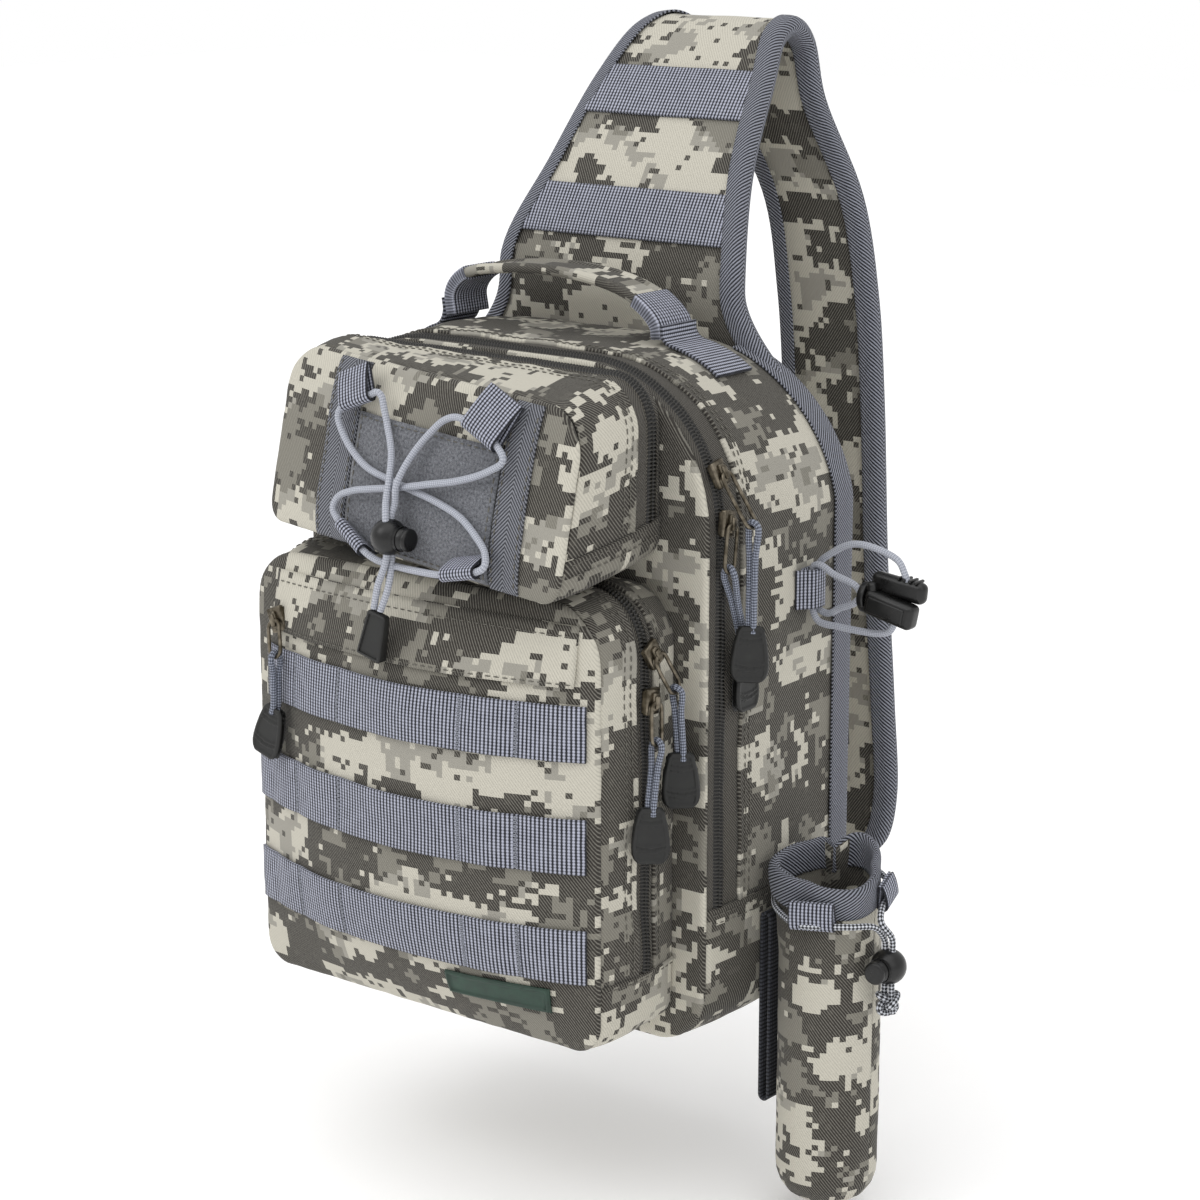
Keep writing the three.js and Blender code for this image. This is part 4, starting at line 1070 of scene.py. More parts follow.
BACK_RIM = [(2.0, -5.5), (2.4, 0), (2.5, 5), (1.6, 9), (-2, 10.6), (-9, 10.4)]
back_edge = []
back_frames = []
for d in spread(MAIN.line.top_at(-71) - MAIN.line.total, MAIN.line.top_at(71), 2.5):
    x, z, nx, nz = MAIN.line.at(d)
    back_edge.append(Vector((x, lean_at(MAIN, z), z)))
    back_frames.append((Vector((nx, 0, nz)), BACK))
taped("back_binding", back_edge, back_frames, rounded_section(BACK_RIM, 1.6)[::-1], TAPE_WALL, BINDING)

# The shoulder strap
strap_left = smooth([(mid - half, y, z) for mid, half, y, z in STRAP])
strap_right = smooth([(mid + half, y, z) for mid, half, y, z in STRAP])


def strap_frame(row):
    """Both edges, the way across, the way along and the way out of the loop."""
    spread_out = clamp(1 - (row - STRAP_ROOT) / FLARE.rows)
    left, right = strap_left(row), strap_right(row)
    across = (right - left).normalized()
    flare = across * FLARE.wide * spread_out**2.2
    fall = Vector((0, 0, -FLARE.fall * spread_out**2))
    ahead, behind = min(STRAP_SPAN, row + SLOPE), row - SLOPE
    along = (strap_left(ahead) + strap_right(ahead) - strap_left(behind) - strap_right(behind)).normalized()
    return left - flare + fall, right + flare + fall, across, along, across.cross(along).normalized()


strap_rows = [*spread(STRAP_ROOT, 1, 0.06), *spread(1, 14, 0.12)[1:], *spread(14, STRAP_SPAN, 0.06)[1:]]
strap_middle = [(strap_frame(row)[0] + strap_frame(row)[1]) / 2 for row in strap_rows]
strap_run = dict(zip(strap_rows, runs(strap_middle)))


def strap_half(row):
    left, right = strap_frame(row)[:2]
    return (right - left).length / 2


def on_strap(row, v):
    """A point in the middle of the pad, the way out there, and how far across it is."""
    left, right, _, _, n = strap_frame(row)
    return left.lerp(right, (v + 1) / 2), n, v * strap_half(row)


def strap_lift(row, v):
    """Half of the pad's thickness: crowned across, thin at its edges and its ends."""
    inset = (1 - abs(v)) * strap_half(row)
    ends = clamp((STRAP_SPAN - row) / 0.5)
    edge = clamp(1 - inset / 6)
    slack = 0.5 * dent(row * 25, v * 40, 26, 5.1)
    return (STRAP_PAD / 2 * (1 - 0.45 * edge**2) + slack * (1 - edge)) * ends**0.5


def strap_pad_face(row, turn):
    """Round the pad: turn goes once over its outer face and back under its inner one."""
    side = 1 if turn <= 1 else -1
    v = max(-1.0, min(1.0, 2 * turn - 1 if turn <= 1 else 3 - 2 * turn))
    p, n, across = on_strap(row, v)
    closed = 0 if turn in (0, 1, 2) else 1
    inner_shift = 300 if side < 0 else 0
    return p + n * side * closed * strap_lift(row, v), n * side, (across + inner_shift, strap_run[row])


strap_turns = [*spread(0, 1, 0.04), *spread(1, 2, 0.04)[1:]]
strap_mesh = laid(strap_pad_face, strap_rows, strap_turns, (20, 150))
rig.padded(piece("strap_pad", strap_mesh, TWILL, ["strap_pad"]), 0.55)


def strap_strip(name, low_row, high_row):
    inset, lift = 5, 1.6
    limit = 1 - inset / strap_half((low_row + high_row) / 2)

    def at(row, v):
        p, n, across = on_strap(row, v)
        along = (row - low_row) / (high_row - low_row) * WEBBING
        return p + n * (strap_lift(row, v) + lift), n, (across, along)

    cloth(name, at, spread(low_row, high_row, 0.05), spread(-limit, limit, 0.05), WEBBING_WALL, WEBBING_GREY)


for name, rows in STRAP_STRIPS.items():
    strap_strip(name, *rows)


def strap_rim(row, side):
    """A place on the strap's edge, the way out of the edge there, and the way out of the loop."""
    left, right, across, along, n = strap_frame(row)
    spot, edge = (right, strap_right) if side > 0 else (left, strap_left)
    if row < STRAP_ROOT + FLARE.rows:
        way = strap_frame(row + 0.02)[1 if side > 0 else 0] - spot
    else:
        way = edge(min(STRAP_SPAN, row + SLOPE)) - edge(row - SLOPE)
    out = way.cross(n).normalized() * side
    if out.dot(across) * side < 0:
        out = -out
    if row > STRAP_SPAN - 0.01:
        out = (out + along).normalized()
    return spot, (out, n)


STRAP_RIM = [
    (-7, 4.3), (-3, 4.2), (0.1, 3.5), (1.3, 1.6), (1.5, 0), (1.3, -1.6), (0.1, -3.5), (-3, -4.2), (-7, -4.3),
]
rim_rows = [(row, 1) for row in strap_rows] + [(row, -1) for row in reversed(strap_rows)]
rim_line, rim_frames = zip(*[strap_rim(row, side) for row, side in rim_rows])
taped("strap_binding", rim_line, rim_frames, rounded_section(STRAP_RIM, 1.5)[::-1], TAPE_WALL, BINDING)

tail_path = evenly(TAIL, 2)
tail_frames = [(RIGHT, Vector((0, way.z, -way.y))) for way in headings(tail_path)]
tail_section = [(x, 1.0) for x in spread(-WEBBING / 2, WEBBING / 2, 2.5)]
taped("strap_tail", tail_path, tail_frames, tail_section, 2.0, WEBBING_GREY)


# What is sewn to the fronts
def sewn(name, face, area, step, lift, thick, finish, upright=False):
    over = raised(face, lift)
    middle = (area.left + area.right) / 2

    def at(x, z):
        p, n, _ = over(x, z)
        return p, n, (z, x - middle) if upright else (x, z - area.low)

    cloth(name, at, spread(area.left, area.right, step), spread(area.low, area.high, step), thick, finish)


def pile_lift(x, z):
    return SEWN_LIFT + 0.15 * dent(x, z, 3, 1)


for name, (left, right) in BANDS.items():
    area = Sizes(left=left, right=right, low=UPPER.low + 0.8, high=UPPER.high - 0.8)
    sewn(name, UPPER.plane, area, 1.6, 1.4, TAPE_WALL, BAND_GREY, upright=True)
sewn("pile_panel", UPPER.plane, PILE, 2, pile_lift, 1.2, PILE_FELT)


def flap_lift(x, z):
    hang = clamp((FLAP.high - z) / (FLAP.high - FLAP.low))
    return 0.9 + 1.5 * hang**2 + 0.5 * hang * dent(x, z, 24, 7)


flap_face = raised(LOWER.plane, flap_lift)
flap_xs, flap_zs = spread(FLAP.left, FLAP.right, 2.6), spread(FLAP.low, FLAP.high, 2.6)
cloth("lower_flap", flap_face, flap_xs, flap_zs, 1.2, TWILL, (702, 343))


def strip_lift(x, _):
    """Webbing stands a little off the cloth between its bar tacks."""
    stops = [-101, -86, *BAR_TACKS, 96]
    for low, high in zip(stops, stops[1:]):
        if low <= x <= high:
            return SEWN_LIFT + 0.9 * math.sin(math.pi * (x - low) / (high - low)) ** 0.7
    return SEWN_LIFT


for i, (left, top) in enumerate(zip(WEBBING_LEFTS, WEBBING_TOPS)):
    area = Sizes(left=left, right=WEBBING_RIGHT, low=top - WEBBING, high=top)
    sewn(f"webbing_{i + 1}", LOWER.plane, area, 2, strip_lift, WEBBING_WALL, WEBBING_GREY)


def label_lift(x, z):
    """The label's rounded edge, with a raised border line inside it."""
    edge = min(x - LABEL.left, LABEL.right - x, z - LABEL.low, LABEL.high - z)
    border = 0.7 if LABEL.rim <= edge <= LABEL.border else 0.0
    return 2.0 + border - 0.9 * clamp(1 - edge / LABEL.rim) ** 2


def bordered(low, high, inset, step):
    """Places across the label, with a pair at each edge of its border line."""
    steps = (0, LABEL.rim / 2, *[edge + side for edge in (LABEL.rim, LABEL.border) for side in (-0.01, 0.01)])
    inner = spread(low + inset, high - inset, step)
    return [*[low + e for e in steps], *inner, *[high - e for e in reversed(steps)]]


label_xs = bordered(LABEL.left, LABEL.right, 4, 3)
label_zs = bordered(LABEL.low, LABEL.high, 3, 2)
cloth("label_patch", raised(LOWER.plane, label_lift), label_xs, label_zs, 1.6, LABEL_RUBBER)


# Webbing loops round the cords
def loop_section(length, radius):
    """From the seam over the front of a cord, round it and back under, as (away, out)."""
    nose = [(-radius * math.sin(a), radius * math.cos(a)) for a in (0, 0.5, 1.0, 1.57, 2.1, 2.6)]
    part = length * 0.6
    return [(length, 0.6), (part, radius * 0.75), *nose, (part, -radius * 0.5), (length, -0.7)]


def cord_loop(name, start, stop, away, length, out, radius):
    step = 0.8
    start, stop, away = Vector(start), Vector(stop), Vector(away)
    axis = (stop - start).normalized()
    away = (away - axis * away.dot(axis)).normalized()
    out = (out - axis * out.dot(axis) - away * out.dot(away)).normalized()
    section = rounded_section(loop_section(length, radius), step)

    def at(k, w):
        p = start + axis * w + away * section[k].x + out * section[k].y
        return p, -square_to(section, k, away, out), (w, step * k)

    widths = spread(0, (stop - start).length, 1.5)
    cloth(name, at, range(len(section)), widths, TAPE_WALL, WEBBING_GREY, offset=0)


for name, (start, stop, away, length) in CORD_LOOPS.items():
    cord_loop(name, start, stop, away, length, -BACK, 2.6)
for name, (angle, half) in DRAW_LOOPS.items():
    start, stop = on_tube(angle - half, DRAW.radius + 0.7), on_tube(angle + half, DRAW.radius + 0.7)
    outward = on_tube(angle, 1) - on_tube(angle, 0)
    cord_loop(name, start, stop, UP, 10, Vector((outward.x, outward.y, 0)), 2.5)

# The carry handle
handle_path = evenly([(x, HANDLE.y, z) for x, z in HANDLE_PATH], HANDLE.step)
handle_outs = [Vector((-way.z, 0, way.x)) for way in headings(handle_path)]


def handle_lift(y):
    """Half the handle's thickness: flat in its middle, with a piped edge on each side."""
    flat, pipe = HANDLE.thick * 0.28, HANDLE.thick / 2
    away = (abs(y) - HANDLE.width / 2 + pipe) / pipe
    if away < -1:
        return flat
    return max(flat if away < 0 else 0, pipe * math.sqrt(max(0, 1 - away * away)))


def round_handle(i, y, lift, s):
    out = handle_outs[i] * lift
    return moved(handle_path[i], 0, y, 0) + out, out + BACK * y * 0.2, (s, i * HANDLE.step)


def handle_face(i, turn):
    a = FULL_TURN * turn
    y = HANDLE.width / 2 * math.cos(a)
    lift = math.copysign(handle_lift(y), math.sin(a))
    return round_handle(i, y, lift, turn * 2 * (HANDLE.width + HANDLE.thick))


handle_mesh = laid(handle_face, range(len(handle_path)), spread(0, 1, 1 / 56), (510, 60))
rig.padded(piece("carry_handle", handle_mesh, TWILL, ["carry_handle"]), 0.7)


def on_top(x, lift):
    """A point on the main gusset's top under the handle."""
    q = (HANDLE.y - MAIN.front) * MAIN.depth / (MAIN.depth - MAIN.lean)
    p, n, _ = MAIN.side(MAIN.line.top_at(x), q)
    return Vector((p.x, HANDLE.y, p.z)) + n * lift


def handle_tab(name, side, far, fold, lap):
    """A webbing tab: sewn flat on the top, folded up at the handle's foot and lapped round its end."""
    flat = [on_top(side * x, 1.6) for x in spread(far, fold, 6)]
    path = evenly([*flat, *[Vector((side * x, HANDLE.y, z)) for x, z in lap]], 2)
    frames = [(BACK, Vector((way.z, 0, -way.x)) * -side) for way in headings(path)]
    section = [(y, 0.0) for y in spread(-WEBBING / 2 - 0.6, WEBBING / 2 + 0.6, 2.4)]
    taped(name, path, frames, section, 1.4, WEBBING_GREY, offset=0)


handle_tab("handle_tab_right", 1, 88, 61, [(58.9, 314.5), (58.4, 319.5)])
handle_tab("handle_tab_left", -1, 97, 72, [(70.9, 314.5), (71.6, 321)])


def wrap_face(i, turn):
    """A webbing sleeve round one end of the handle, nearly square in section."""
    across, over = math.cos(FULL_TURN * turn), math.sin(FULL_TURN * turn)
    square = 0.3
    y = (HANDLE.width / 2 + 0.9) * math.copysign(abs(across) ** square, across)
    lift = (HANDLE.thick / 2 + TAPE_WALL) * math.copysign(abs(over) ** square, over)
    return round_handle(i, y, lift, y)


handle_count = len(handle_path)
WRAPS = {"handle_wrap_left": range(11), "handle_wrap_right": range(handle_count - 10, handle_count)}
for name, places in WRAPS.items():
    thicken(piece(name, laid(wrap_face, places, spread(0, 1, 1 / 40)), WEBBING_GREY), TAPE_WALL)


# The rod tube
def mouth_pinch(angle, z):
    """The drawcord gathers the mouth: three soft corners and one fold at the back."""
    gather = clamp((z - MOUTH.low) / MOUTH.over) ** 1.5
    corners = MOUTH.corner * math.cos(3 * (angle - math.radians(MOUTH.corner_at)))
    turn = math.degrees(angle - math.radians(MOUTH.fold_at)) % 360
    fold = -MOUTH.fold * math.exp(-((min(turn, 360 - turn) / MOUTH.fold_half) ** 2))
    return 1 + gather * (corners + fold + MOUTH.wave * math.sin(9 * angle))


def tube_point(angle, radius, z):
    r = radius * mouth_pinch(angle, z) + 0.35 * dent(angle * 24, z, 22, 3) * clamp((z + 70) / 20)
    share = clamp((z - 20) / (TUBE.mouth - 20))
    lean = TUBE.slant * r / TUBE.radius * math.cos(angle - math.radians(MOUTH.slant_at))
    return Vector((TUBE.x + r * math.cos(angle), TUBE.y + r * math.sin(angle), z + share * lean))


def tube_face(angle, k):
    radius, z = tube_rows[k]
    n = Vector((math.cos(angle), math.sin(angle), 0)) if radius > 10 else -UP
    return tube_point(angle, radius, z), n, (angle * TUBE.radius, z)


tube_rows = [*TUBE_END, *[(TUBE.radius, z) for z in spread(-58, TUBE.mouth, 3.2)]]
tube_turns = [FULL_TURN * i / 96 for i in range(97)]
cloth("rod_tube", tube_face, tube_turns, range(len(tube_rows)), TUBE.wall, TWILL, (900, 260))

MOUTH_RIM = [(1.3, -13), (1.5, -6), (1.5, -1), (0.6, 1.2), (-1.2, 1.7), (-2.8, 0.8), (-3.2, -3), (-3.2, -12)]
RIM_STEP = 1.3
rim_section = rounded_section(MOUTH_RIM, RIM_STEP)


def rim_face(angle, k):
    o, u = rim_section[k]
    p = tube_point(angle, TUBE.radius + o, min(TUBE.mouth + u, TUBE.mouth))
    p.z += max(0, u)
    n = -square_to(rim_section, k, Vector((math.cos(angle), math.sin(angle), 0)), UP)
    return p, n, (angle * TUBE.radius, (k - len(rim_section) / 2) * RIM_STEP)


cloth("tube_binding", rim_face, tube_turns, range(len(rim_section)), 0.9, BINDING)


def strap_turn(z, start):
    turns = [math.radians(start + 20 * i) for i in range(10)]
    return [(TUBE_STRAP.bend * math.cos(a), z + TUBE_STRAP.bend * math.sin(a)) for a in turns]


low, high = TUBE_STRAP.low + TUBE_STRAP.straight, TUBE_STRAP.high - TUBE_STRAP.straight
strap_loop = [
    *strap_turn(TUBE_STRAP.low + TUBE_STRAP.fold, 180),
    *[(TUBE_STRAP.bend, z) for z in spread(low, high, 4)],
    *strap_turn(TUBE_STRAP.high - TUBE_STRAP.fold, 0),
    *[(-TUBE_STRAP.bend, z) for z in spread(high, low, 4)],
]
loop_line = [Vector((TUBE_STRAP.x + x, TUBE.y, z)) for x, z in [*strap_loop, strap_loop[0]]]
loop_frames = []
for i in range(len(loop_line)):
    count = len(strap_loop)
    way = (loop_line[(i + 1) % count] - loop_line[(i - 1) % count]).normalized()
    loop_frames.append((BACK, Vector((way.z, 0, -way.x))))
loop_widths = [(y, 0.0) for y in spread(-WEBBING / 2, WEBBING / 2, 2.5)]
taped("tube_strap", loop_line, loop_frames, loop_widths, WEBBING_WALL, STRAP_DARK, offset=0)


# Hard fittings
def spun(name, profile, seat, body):
    """A turned part: a profile of ways along and out, spun round the seat's x axis."""
    mesh = bmesh.new()
    verts = [mesh.verts.new((x * MM, r * MM, 0)) for x, r in profile]
    geom = [*verts, *[mesh.edges.new(pair) for pair in zip(verts, verts[1:])]]
    bmesh.ops.spin(mesh, geom=geom, cent=(0, 0, 0), axis=(1, 0, 0), angle=FULL_TURN, steps=36, use_merge=True)
    bmesh.ops.remove_doubles(mesh, verts=mesh.verts[:], dist=1e-6)
    bmesh.ops.recalc_face_normals(mesh, faces=mesh.faces[:])
    bmesh.ops.transform(mesh, matrix=seat, verts=mesh.verts[:])
    piece(name, mesh, BLACK_PLASTIC, [name], body, sharp=50)


def turned_lock(name, centre, way):
    """A cord lock: a moulded ball with a bore, and a sprung plunger that stands out of it."""
    seat = seated(way, UP.cross(way).normalized(), UP, centre)
    sweep = math.pi - math.acos(LOCK.lip / LOCK.radius) + 0.35
    arc = [math.pi - sweep * i / 16 for i in range(17)]
    shell = [(LOCK.radius * math.cos(a), LOCK.radius * math.sin(a)) for a in arc]
    x = shell[-1][0]
    shell += [(x + 0.4, LOCK.bore + 0.2), (x - 0.2, LOCK.bore), (-5, LOCK.bore), (-5, 0)]
    spun(name, shell, seat, "bag")
    tip, p = LOCK.tip, LOCK.plunger
    stem = [
        (0.2, 0), (0.2, p - 0.3), (0.5, p), (tip - 3.4, p), (tip - 2.6, p - 0.5), (tip - 2.0, p),
        (tip - 0.9, p), (tip - 0.25, p - 0.4), (tip, p - 1.2), (tip, 0),
    ]
    spun(f"{name}_plunger", stem, seat, f"{name}_plunger")


turned_lock("front_lock", FRONT_LOCK, RIGHT)
turned_lock("tube_lock", TUBE_LOCK, -BACK)


def rounded(mesh, edges, offset, segments):
    bmesh.ops.bevel(
        mesh, geom=edges, offset=offset, offset_type="OFFSET", affect="EDGES",
        segments=segments, profile=0.5, material=-1,
    )


def boxed(seat, at, size, turn=None):
    """A matrix that places a unit cube."""
    grow = Matrix.Diagonal((*[s * MM for s in size], 1))
    return seat @ Matrix.Translation(Vector(at) * MM) @ (turn or Matrix.Identity(4)) @ grow


def blocks(name, parts, finish, segments, sharp):
    """Moulded blocks: each is a matrix that places a unit cube, with the rounding of its edges."""
    mesh = bmesh.new()
    for part, bevel in parts:
        made = bmesh.ops.create_cube(mesh, size=1, matrix=part)["verts"]
        rounded(mesh, list({e for v in made for e in v.link_edges}), bevel * MM, segments)
    return piece(name, mesh, finish, [name], sharp=sharp)


BAG_SEAT = Matrix.Translation(at_rest((0, 0, 0)))


def end_cap():
    """The cord's end piece: a tapered block with a sunken panel in its front."""
    mesh = bmesh.new()
    wide, deep, tall = CORD_END.size
    for vert in bmesh.ops.create_cube(mesh, size=1)["verts"]:
        taper = 1 if vert.co.z < 0 else CORD_END.taper
        vert.co = Vector((vert.co.x * wide * taper, vert.co.y * deep * taper, vert.co.z * tall))
    front = min(mesh.faces, key=lambda cell: cell.calc_center_median().y)
    edges = mesh.edges[:]
    bmesh.ops.inset_individual(mesh, faces=[front], thickness=2.0, depth=0)
    bmesh.ops.inset_individual(mesh, faces=[front], thickness=0.4, depth=-0.7)
    rounded(mesh, edges, 1.1, 4)
    seat = boxed(BAG_SEAT, CORD_END.at, (1, 1, 1), Matrix.Rotation(CORD_END.tilt, 4, "Y"))
    bmesh.ops.transform(mesh, matrix=seat, verts=mesh.verts[:])
    return piece("cord_end_cap", mesh, BLACK_RUBBER, ["front_cord_end"], sharp=35)


cord_end = end_cap()
LEVER_TILT = Matrix.Rotation(0.1, 4, "Y")
BODY_TILT = Matrix.Rotation(0.2, 4, "Y")
TOGGLE = [
    ((169, -27.4, 209), (28, 7, 10), LEVER_TILT, 3.2),
    *[((170 + 3 * k, -27.4, 213.9 - 0.3 * k), (1.5, 7.4, 1.4), LEVER_TILT, 0.5) for k in range(4)],
    ((167.5, -32, 199.8), (26, 8.5, 11.5), BODY_TILT, 2.6),
    ((167, -36.2, 199.8), (19, 1.4, 7), BODY_TILT, 0.6),
    ((157.5, -30, 204), (5, 9, 14), None, 2),
]
toggle_parts = [(boxed(BAG_SEAT, at, size, tilt), bevel) for at, size, tilt, bevel in TOGGLE]
toggle = blocks("side_toggle", toggle_parts, BLACK_PLASTIC, 5, 35)

DISC = Sizes(at=(153.6, -30, 203), radius=7 * MM, depth=3.4 * MM)
disc = bmesh.new()
disc_seat = Matrix.Translation(at_rest(DISC.at)) @ Matrix.Rotation(math.pi / 2, 4, "Y")
bmesh.ops.create_cone(
    disc, cap_ends=True, segments=32, depth=DISC.depth,
    radius1=DISC.radius, radius2=DISC.radius, matrix=disc_seat,
)
rounded(disc, [e for e in disc.edges if abs(e.calc_face_angle(0)) > 1], 0.7 * MM, 3)
piece("toggle_disc", disc, BLACK_PLASTIC, sharp=40)

SIDE_TAB = [
    (121.6, -40), (123.4, -37), (126.6, -33.5), (127.4, -29), (126.6, -24.2), (124, -22), (121.4, -24.4),
    (121.0, -29), (121.1, -34),
]
tab_section = rounded_section(SIDE_TAB, 1.0)


def side_tab_face(k, z):
    return Vector((*tab_section[k], z)), square_to(tab_section, k, RIGHT, BACK), (k, z)


cloth("side_tab", side_tab_face, range(len(tab_section)), spread(194, 212, 1.5), 1.1, WEBBING_GREY, offset=0)


# Zip sliders and pulls
def seat_of(pull):
    if not pull.of:
        return FLAP_SEAT, -BACK
    p, n, _ = gusset_face(pull.of, SEAT_SEED)(pull.of.line.side_at(pull.up), pull.of.zip.q)
    return p + n * GAP, n


def tab_half(y):
    for (a, b), (c, d) in zip(TAB_EDGE, TAB_EDGE[1:]):
        if a <= y <= c:
            return b + (d - b) * (y - a) / (c - a)
    return TAB_EDGE[-1][1]


def pull_tab(pull):
    """A moulded tab: a raised rim round a sunken face, with plain ribs for the grip."""
    down = (pull.end - pull.tab).normalized()
    out = pull.face.normalized()
    out = (out - down * out.dot(down)).normalized()
    wide = down.cross(out)

    def at(u, y):
        half = tab_half(y)
        x = u * half
        edge = min(half - abs(x), y, TAB_LENGTH - y)
        lift = TAB_THICK / 2 - 1.2 * clamp(1 - edge / 1.2) ** 2
        if edge > 2.0:
            ribbed = any(abs(y + 0.03 * x * x - rib) < 0.55 for rib in TAB_RIBS)
            lift -= 0.05 if ribbed else 0.55
        return pull.tab + wide * x + down * y + out * lift, out, (x, y)

    us, ys = spread(-1, 1, 0.045), spread(0, TAB_LENGTH, 0.5)
    return cloth(f"{pull.name}_pull", at, us, ys, TAB_THICK - 0.6, BLACK_RUBBER)


def pull_cord(pull, tab):
    """A cord from inside the tab, through the ring's foot and back."""
    at, out = seat_of(pull)
    hang = (pull.ring - (at + out * EYE)).normalized()
    through = out.cross(hang).normalized().cross(hang)
    down = (pull.end - pull.tab).normalized()
    clear = WIRE + PULL_CORD + 0.2

    def strand(sign):
        line = [pull.ring, pull.ring.lerp(pull.tab, 0.35), pull.tab, pull.tab + down * 4]
        return [p + through * sign * apart for p, apart in zip(line, (clear, 1.7, 1.5, 1.4))]

    route = [*reversed(strand(1)), pull.ring - hang * clear, *strand(-1)]
    made, path = cord(f"{pull.name}_pull_cord", route, PULL_CORD, PULL_BRAID, step=1.2)
    declare_cord(made, path, PULL_CORD, "fitting", "hanging", [tab])


# A slider's plate, bridge and flanges: place, size and rounding in its own seat.
SLIDER = [
    ((0, 0, 3.1), (9, 12, 3), 0.9),
    ((0, 0, 5.0), (3.2, 8.4, 2.4), 0.8),
    ((0, 0, 6.6), (3.0, 6.0, 1.6), 0.7),
    ((-3.9, 0, 2.2), (1.2, 10, 2.4), 0.4),
    ((3.9, 0, 2.2), (1.2, 10, 2.4), 0.4),
]


def slider(pull):
    """A die-cast slider on the coil, with a long wire ring in its bridge."""
    at, out = seat_of(pull)
    eye = at + out * EYE
    hang = (pull.ring - eye).normalized()
    side = out.cross(hang).normalized()
    seat = seated(side, out.cross(side), out, at)
    parts = [(boxed(seat, spot, size), bevel) for spot, size, bevel in SLIDER]
    blocks(f"{pull.name}_slider", parts, ZINC, 3, 40)
    bow = 3.6
    low, high = eye + hang * bow, pull.ring - hang * bow
    turns = [math.radians(a) for a in range(0, 181, 20)]
    route = [
        *[low + side * bow * math.cos(a) - hang * bow * math.sin(a) for a in turns],
        *[high - side * bow * math.cos(a) + hang * bow * math.sin(a) for a in turns],
        low + side * bow,
    ]
    cord(f"{pull.name}_ring", route, WIRE, ZINC, step=0.7)


for pull in PULLS:
    slider(pull)
    pull_cord(pull, pull_tab(pull))


# Sewing
def seam(face, route, lift):
    """Points and ways out along a route over a face, about a millimetre apart."""
    places = [route[0]]
    for (u0, v0), (u1, v1) in zip(route, route[1:]):
        count = max(1, round(math.hypot(u1 - u0, v1 - v0)))
        places += [(u0 + (u1 - u0) * i / count, v0 + (v1 - v0) * i / count) for i in range(1, count + 1)]
    return [(p + n * lift, n) for p, n, _ in [face(*place) for place in places]]


def stitched(name, rows, pitch=4.2, long=3.0, wide=0.34, finish=THREAD):
    """Lockstitch: short threads end to end along each row, each one sunk at its ends."""
    mesh = bmesh.new()
    for row in rows:
        run = runs([p for p, _ in row])
        i = 0
        want = pitch / 2
        while want < run[-1]:
            while run[i + 1] < want:
                i += 1
            way = (row[i + 1][0] - row[i][0]).normalized()
            side = row[i][1].normalized().cross(way).normalized()
            spot = row[i][0].lerp(row[i + 1][0], (want - run[i]) / max(1e-9, run[i + 1] - run[i]))
            place = seated(way * long / 2 * MM, side * wide * MM, way.cross(side) * wide * MM, spot)
            bmesh.ops.create_uvsphere(mesh, u_segments=6, v_segments=4, radius=1, matrix=place)
            want += pitch
    bmesh.ops.recalc_face_normals(mesh, faces=mesh.faces[:])
    piece(name, mesh, finish)


def arch_rows(c, rows):
    """Seams along a zip: each is the way q back and the lift off the cloth."""
    start = c.line.side_at(c.zip.end) + 2
    ways = spread(start, c.line.total - start, 6)
    return [seam(c.side, [(d, q) for d in ways], lift) for q, lift in rows]


def cross_rows(c, ups, q0, q1, lift):
    """Seams across a gusset on both sides, at each height."""
    ways = [sign * c.line.side_at(z) for sign in (1, -1) for z in ups]
    return [seam(c.side, [(d, q0), (d, q1)], lift) for d in ways]


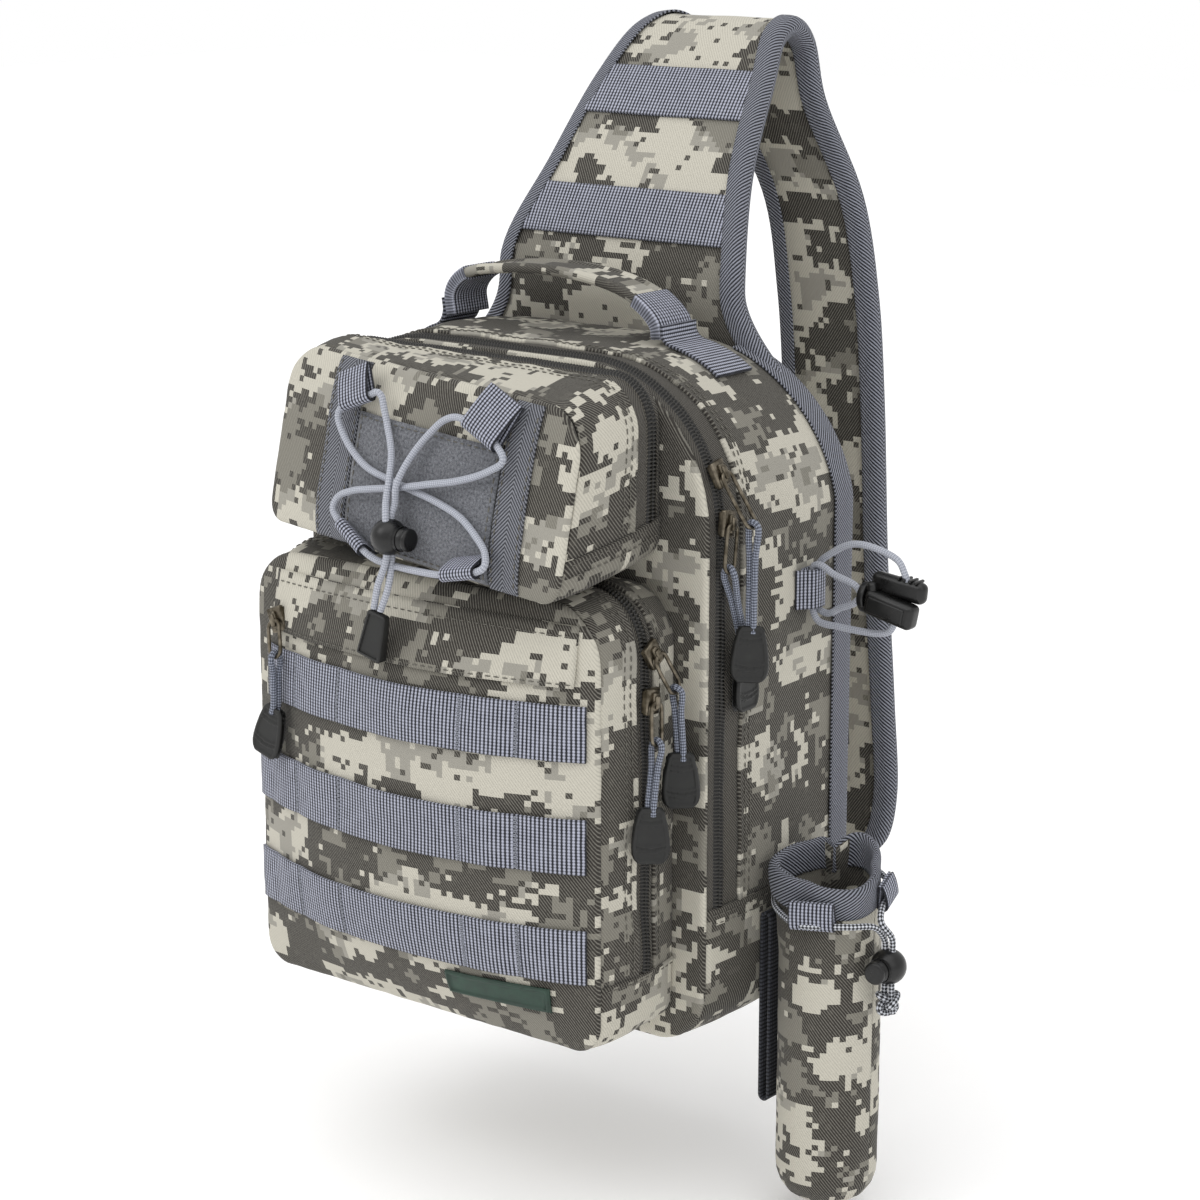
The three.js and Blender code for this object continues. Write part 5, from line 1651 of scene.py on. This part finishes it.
sewn_face = raised(UPPER.plane, SEWN_LIFT)
PILE_INSET = 2
left, right = PILE.left + PILE_INSET, PILE.right - PILE_INSET
low, high = PILE.low + PILE_INSET, PILE.high - PILE_INSET
PILE_SEAM = [(left, high), (right, high), (right, low), (left, low), (left, high)]
band_xs = [x for left, right in BANDS.values() for x in (left + 1.6, right - 1.6)]
upper_rows = [
    *arch_rows(UPPER, [(30.2, 0.6), (26.8, 0.25)]),
    *cross_rows(UPPER, (242.6, 237.6), 2, 49, 0.5),
    seam(sewn_face, PILE_SEAM, 0.2),
    *[seam(sewn_face, [(x, 229), (x, 304)], 0.1) for x in band_xs],
]
stitched("upper_seams", upper_rows)
lower_rows = [
    *arch_rows(LOWER, [(18.4, 0.5), (14.6, 0.25), (39, 0.5)]),
    *cross_rows(LOWER, (39.6,), 2, 51, 0.6),
    *[seam(flap_face, [(-82, z), (91, z)], 0.2) for z in (201, 180.5)],
]
stitched("lower_seams", lower_rows)
main_rows = [*arch_rows(MAIN, [(25.6, 0.6), (29, 0.25)]), *cross_rows(MAIN, (63, 59), 3, 94, 0.8)]
stitched("main_seams", main_rows)


def tack_row(x, z):
    """One leg of a bar tack's zigzag."""
    slant = 0.5 if round(z) % 2 else -0.5
    return seam(raised(LOWER.plane, 1.6), [(x - 1.3, z - slant), (x + 1.3, z + slant)], 0.1)


tack_rows = [
    tack_row(x, z) for top in WEBBING_TOPS for x in BAR_TACKS for z in spread(top - WEBBING + 1, top - 1, 1.0)
]
stitched("bar_tacks", tack_rows, pitch=2.6, long=2.6, wide=0.42, finish=TACK_THREAD)


def strap_seam(side, face):
    """A seam along one edge of the strap, on its outer or its inner face."""
    inset, lift = 5.6, 4.4
    found = []
    for row in strap_rows[4:-6]:
        p, n, _ = on_strap(row, side * (1 - inset / strap_half(row)))
        found.append((p + n * lift * face, n * face))
    return found


stitched("strap_seams", [strap_seam(side, face) for side in (1, -1) for face in (1, -1)])

declare_cord(front_cord, front_path, ELASTIC_CORD, "fitting", "taut", [cord_end])
declare_cord(side_cord, side_path, ELASTIC_CORD, "fitting", "loose", [toggle])
declare_cord(tube_cord, tube_path, DRAW.cord, "knot", "hanging", [tube_knot])

shown_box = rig.bounds()
with open("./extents.json", "w") as sizes:
    json.dump({"cad": [list(p) for p in cad_box], "visual": [list(p) for p in shown_box]}, sizes)
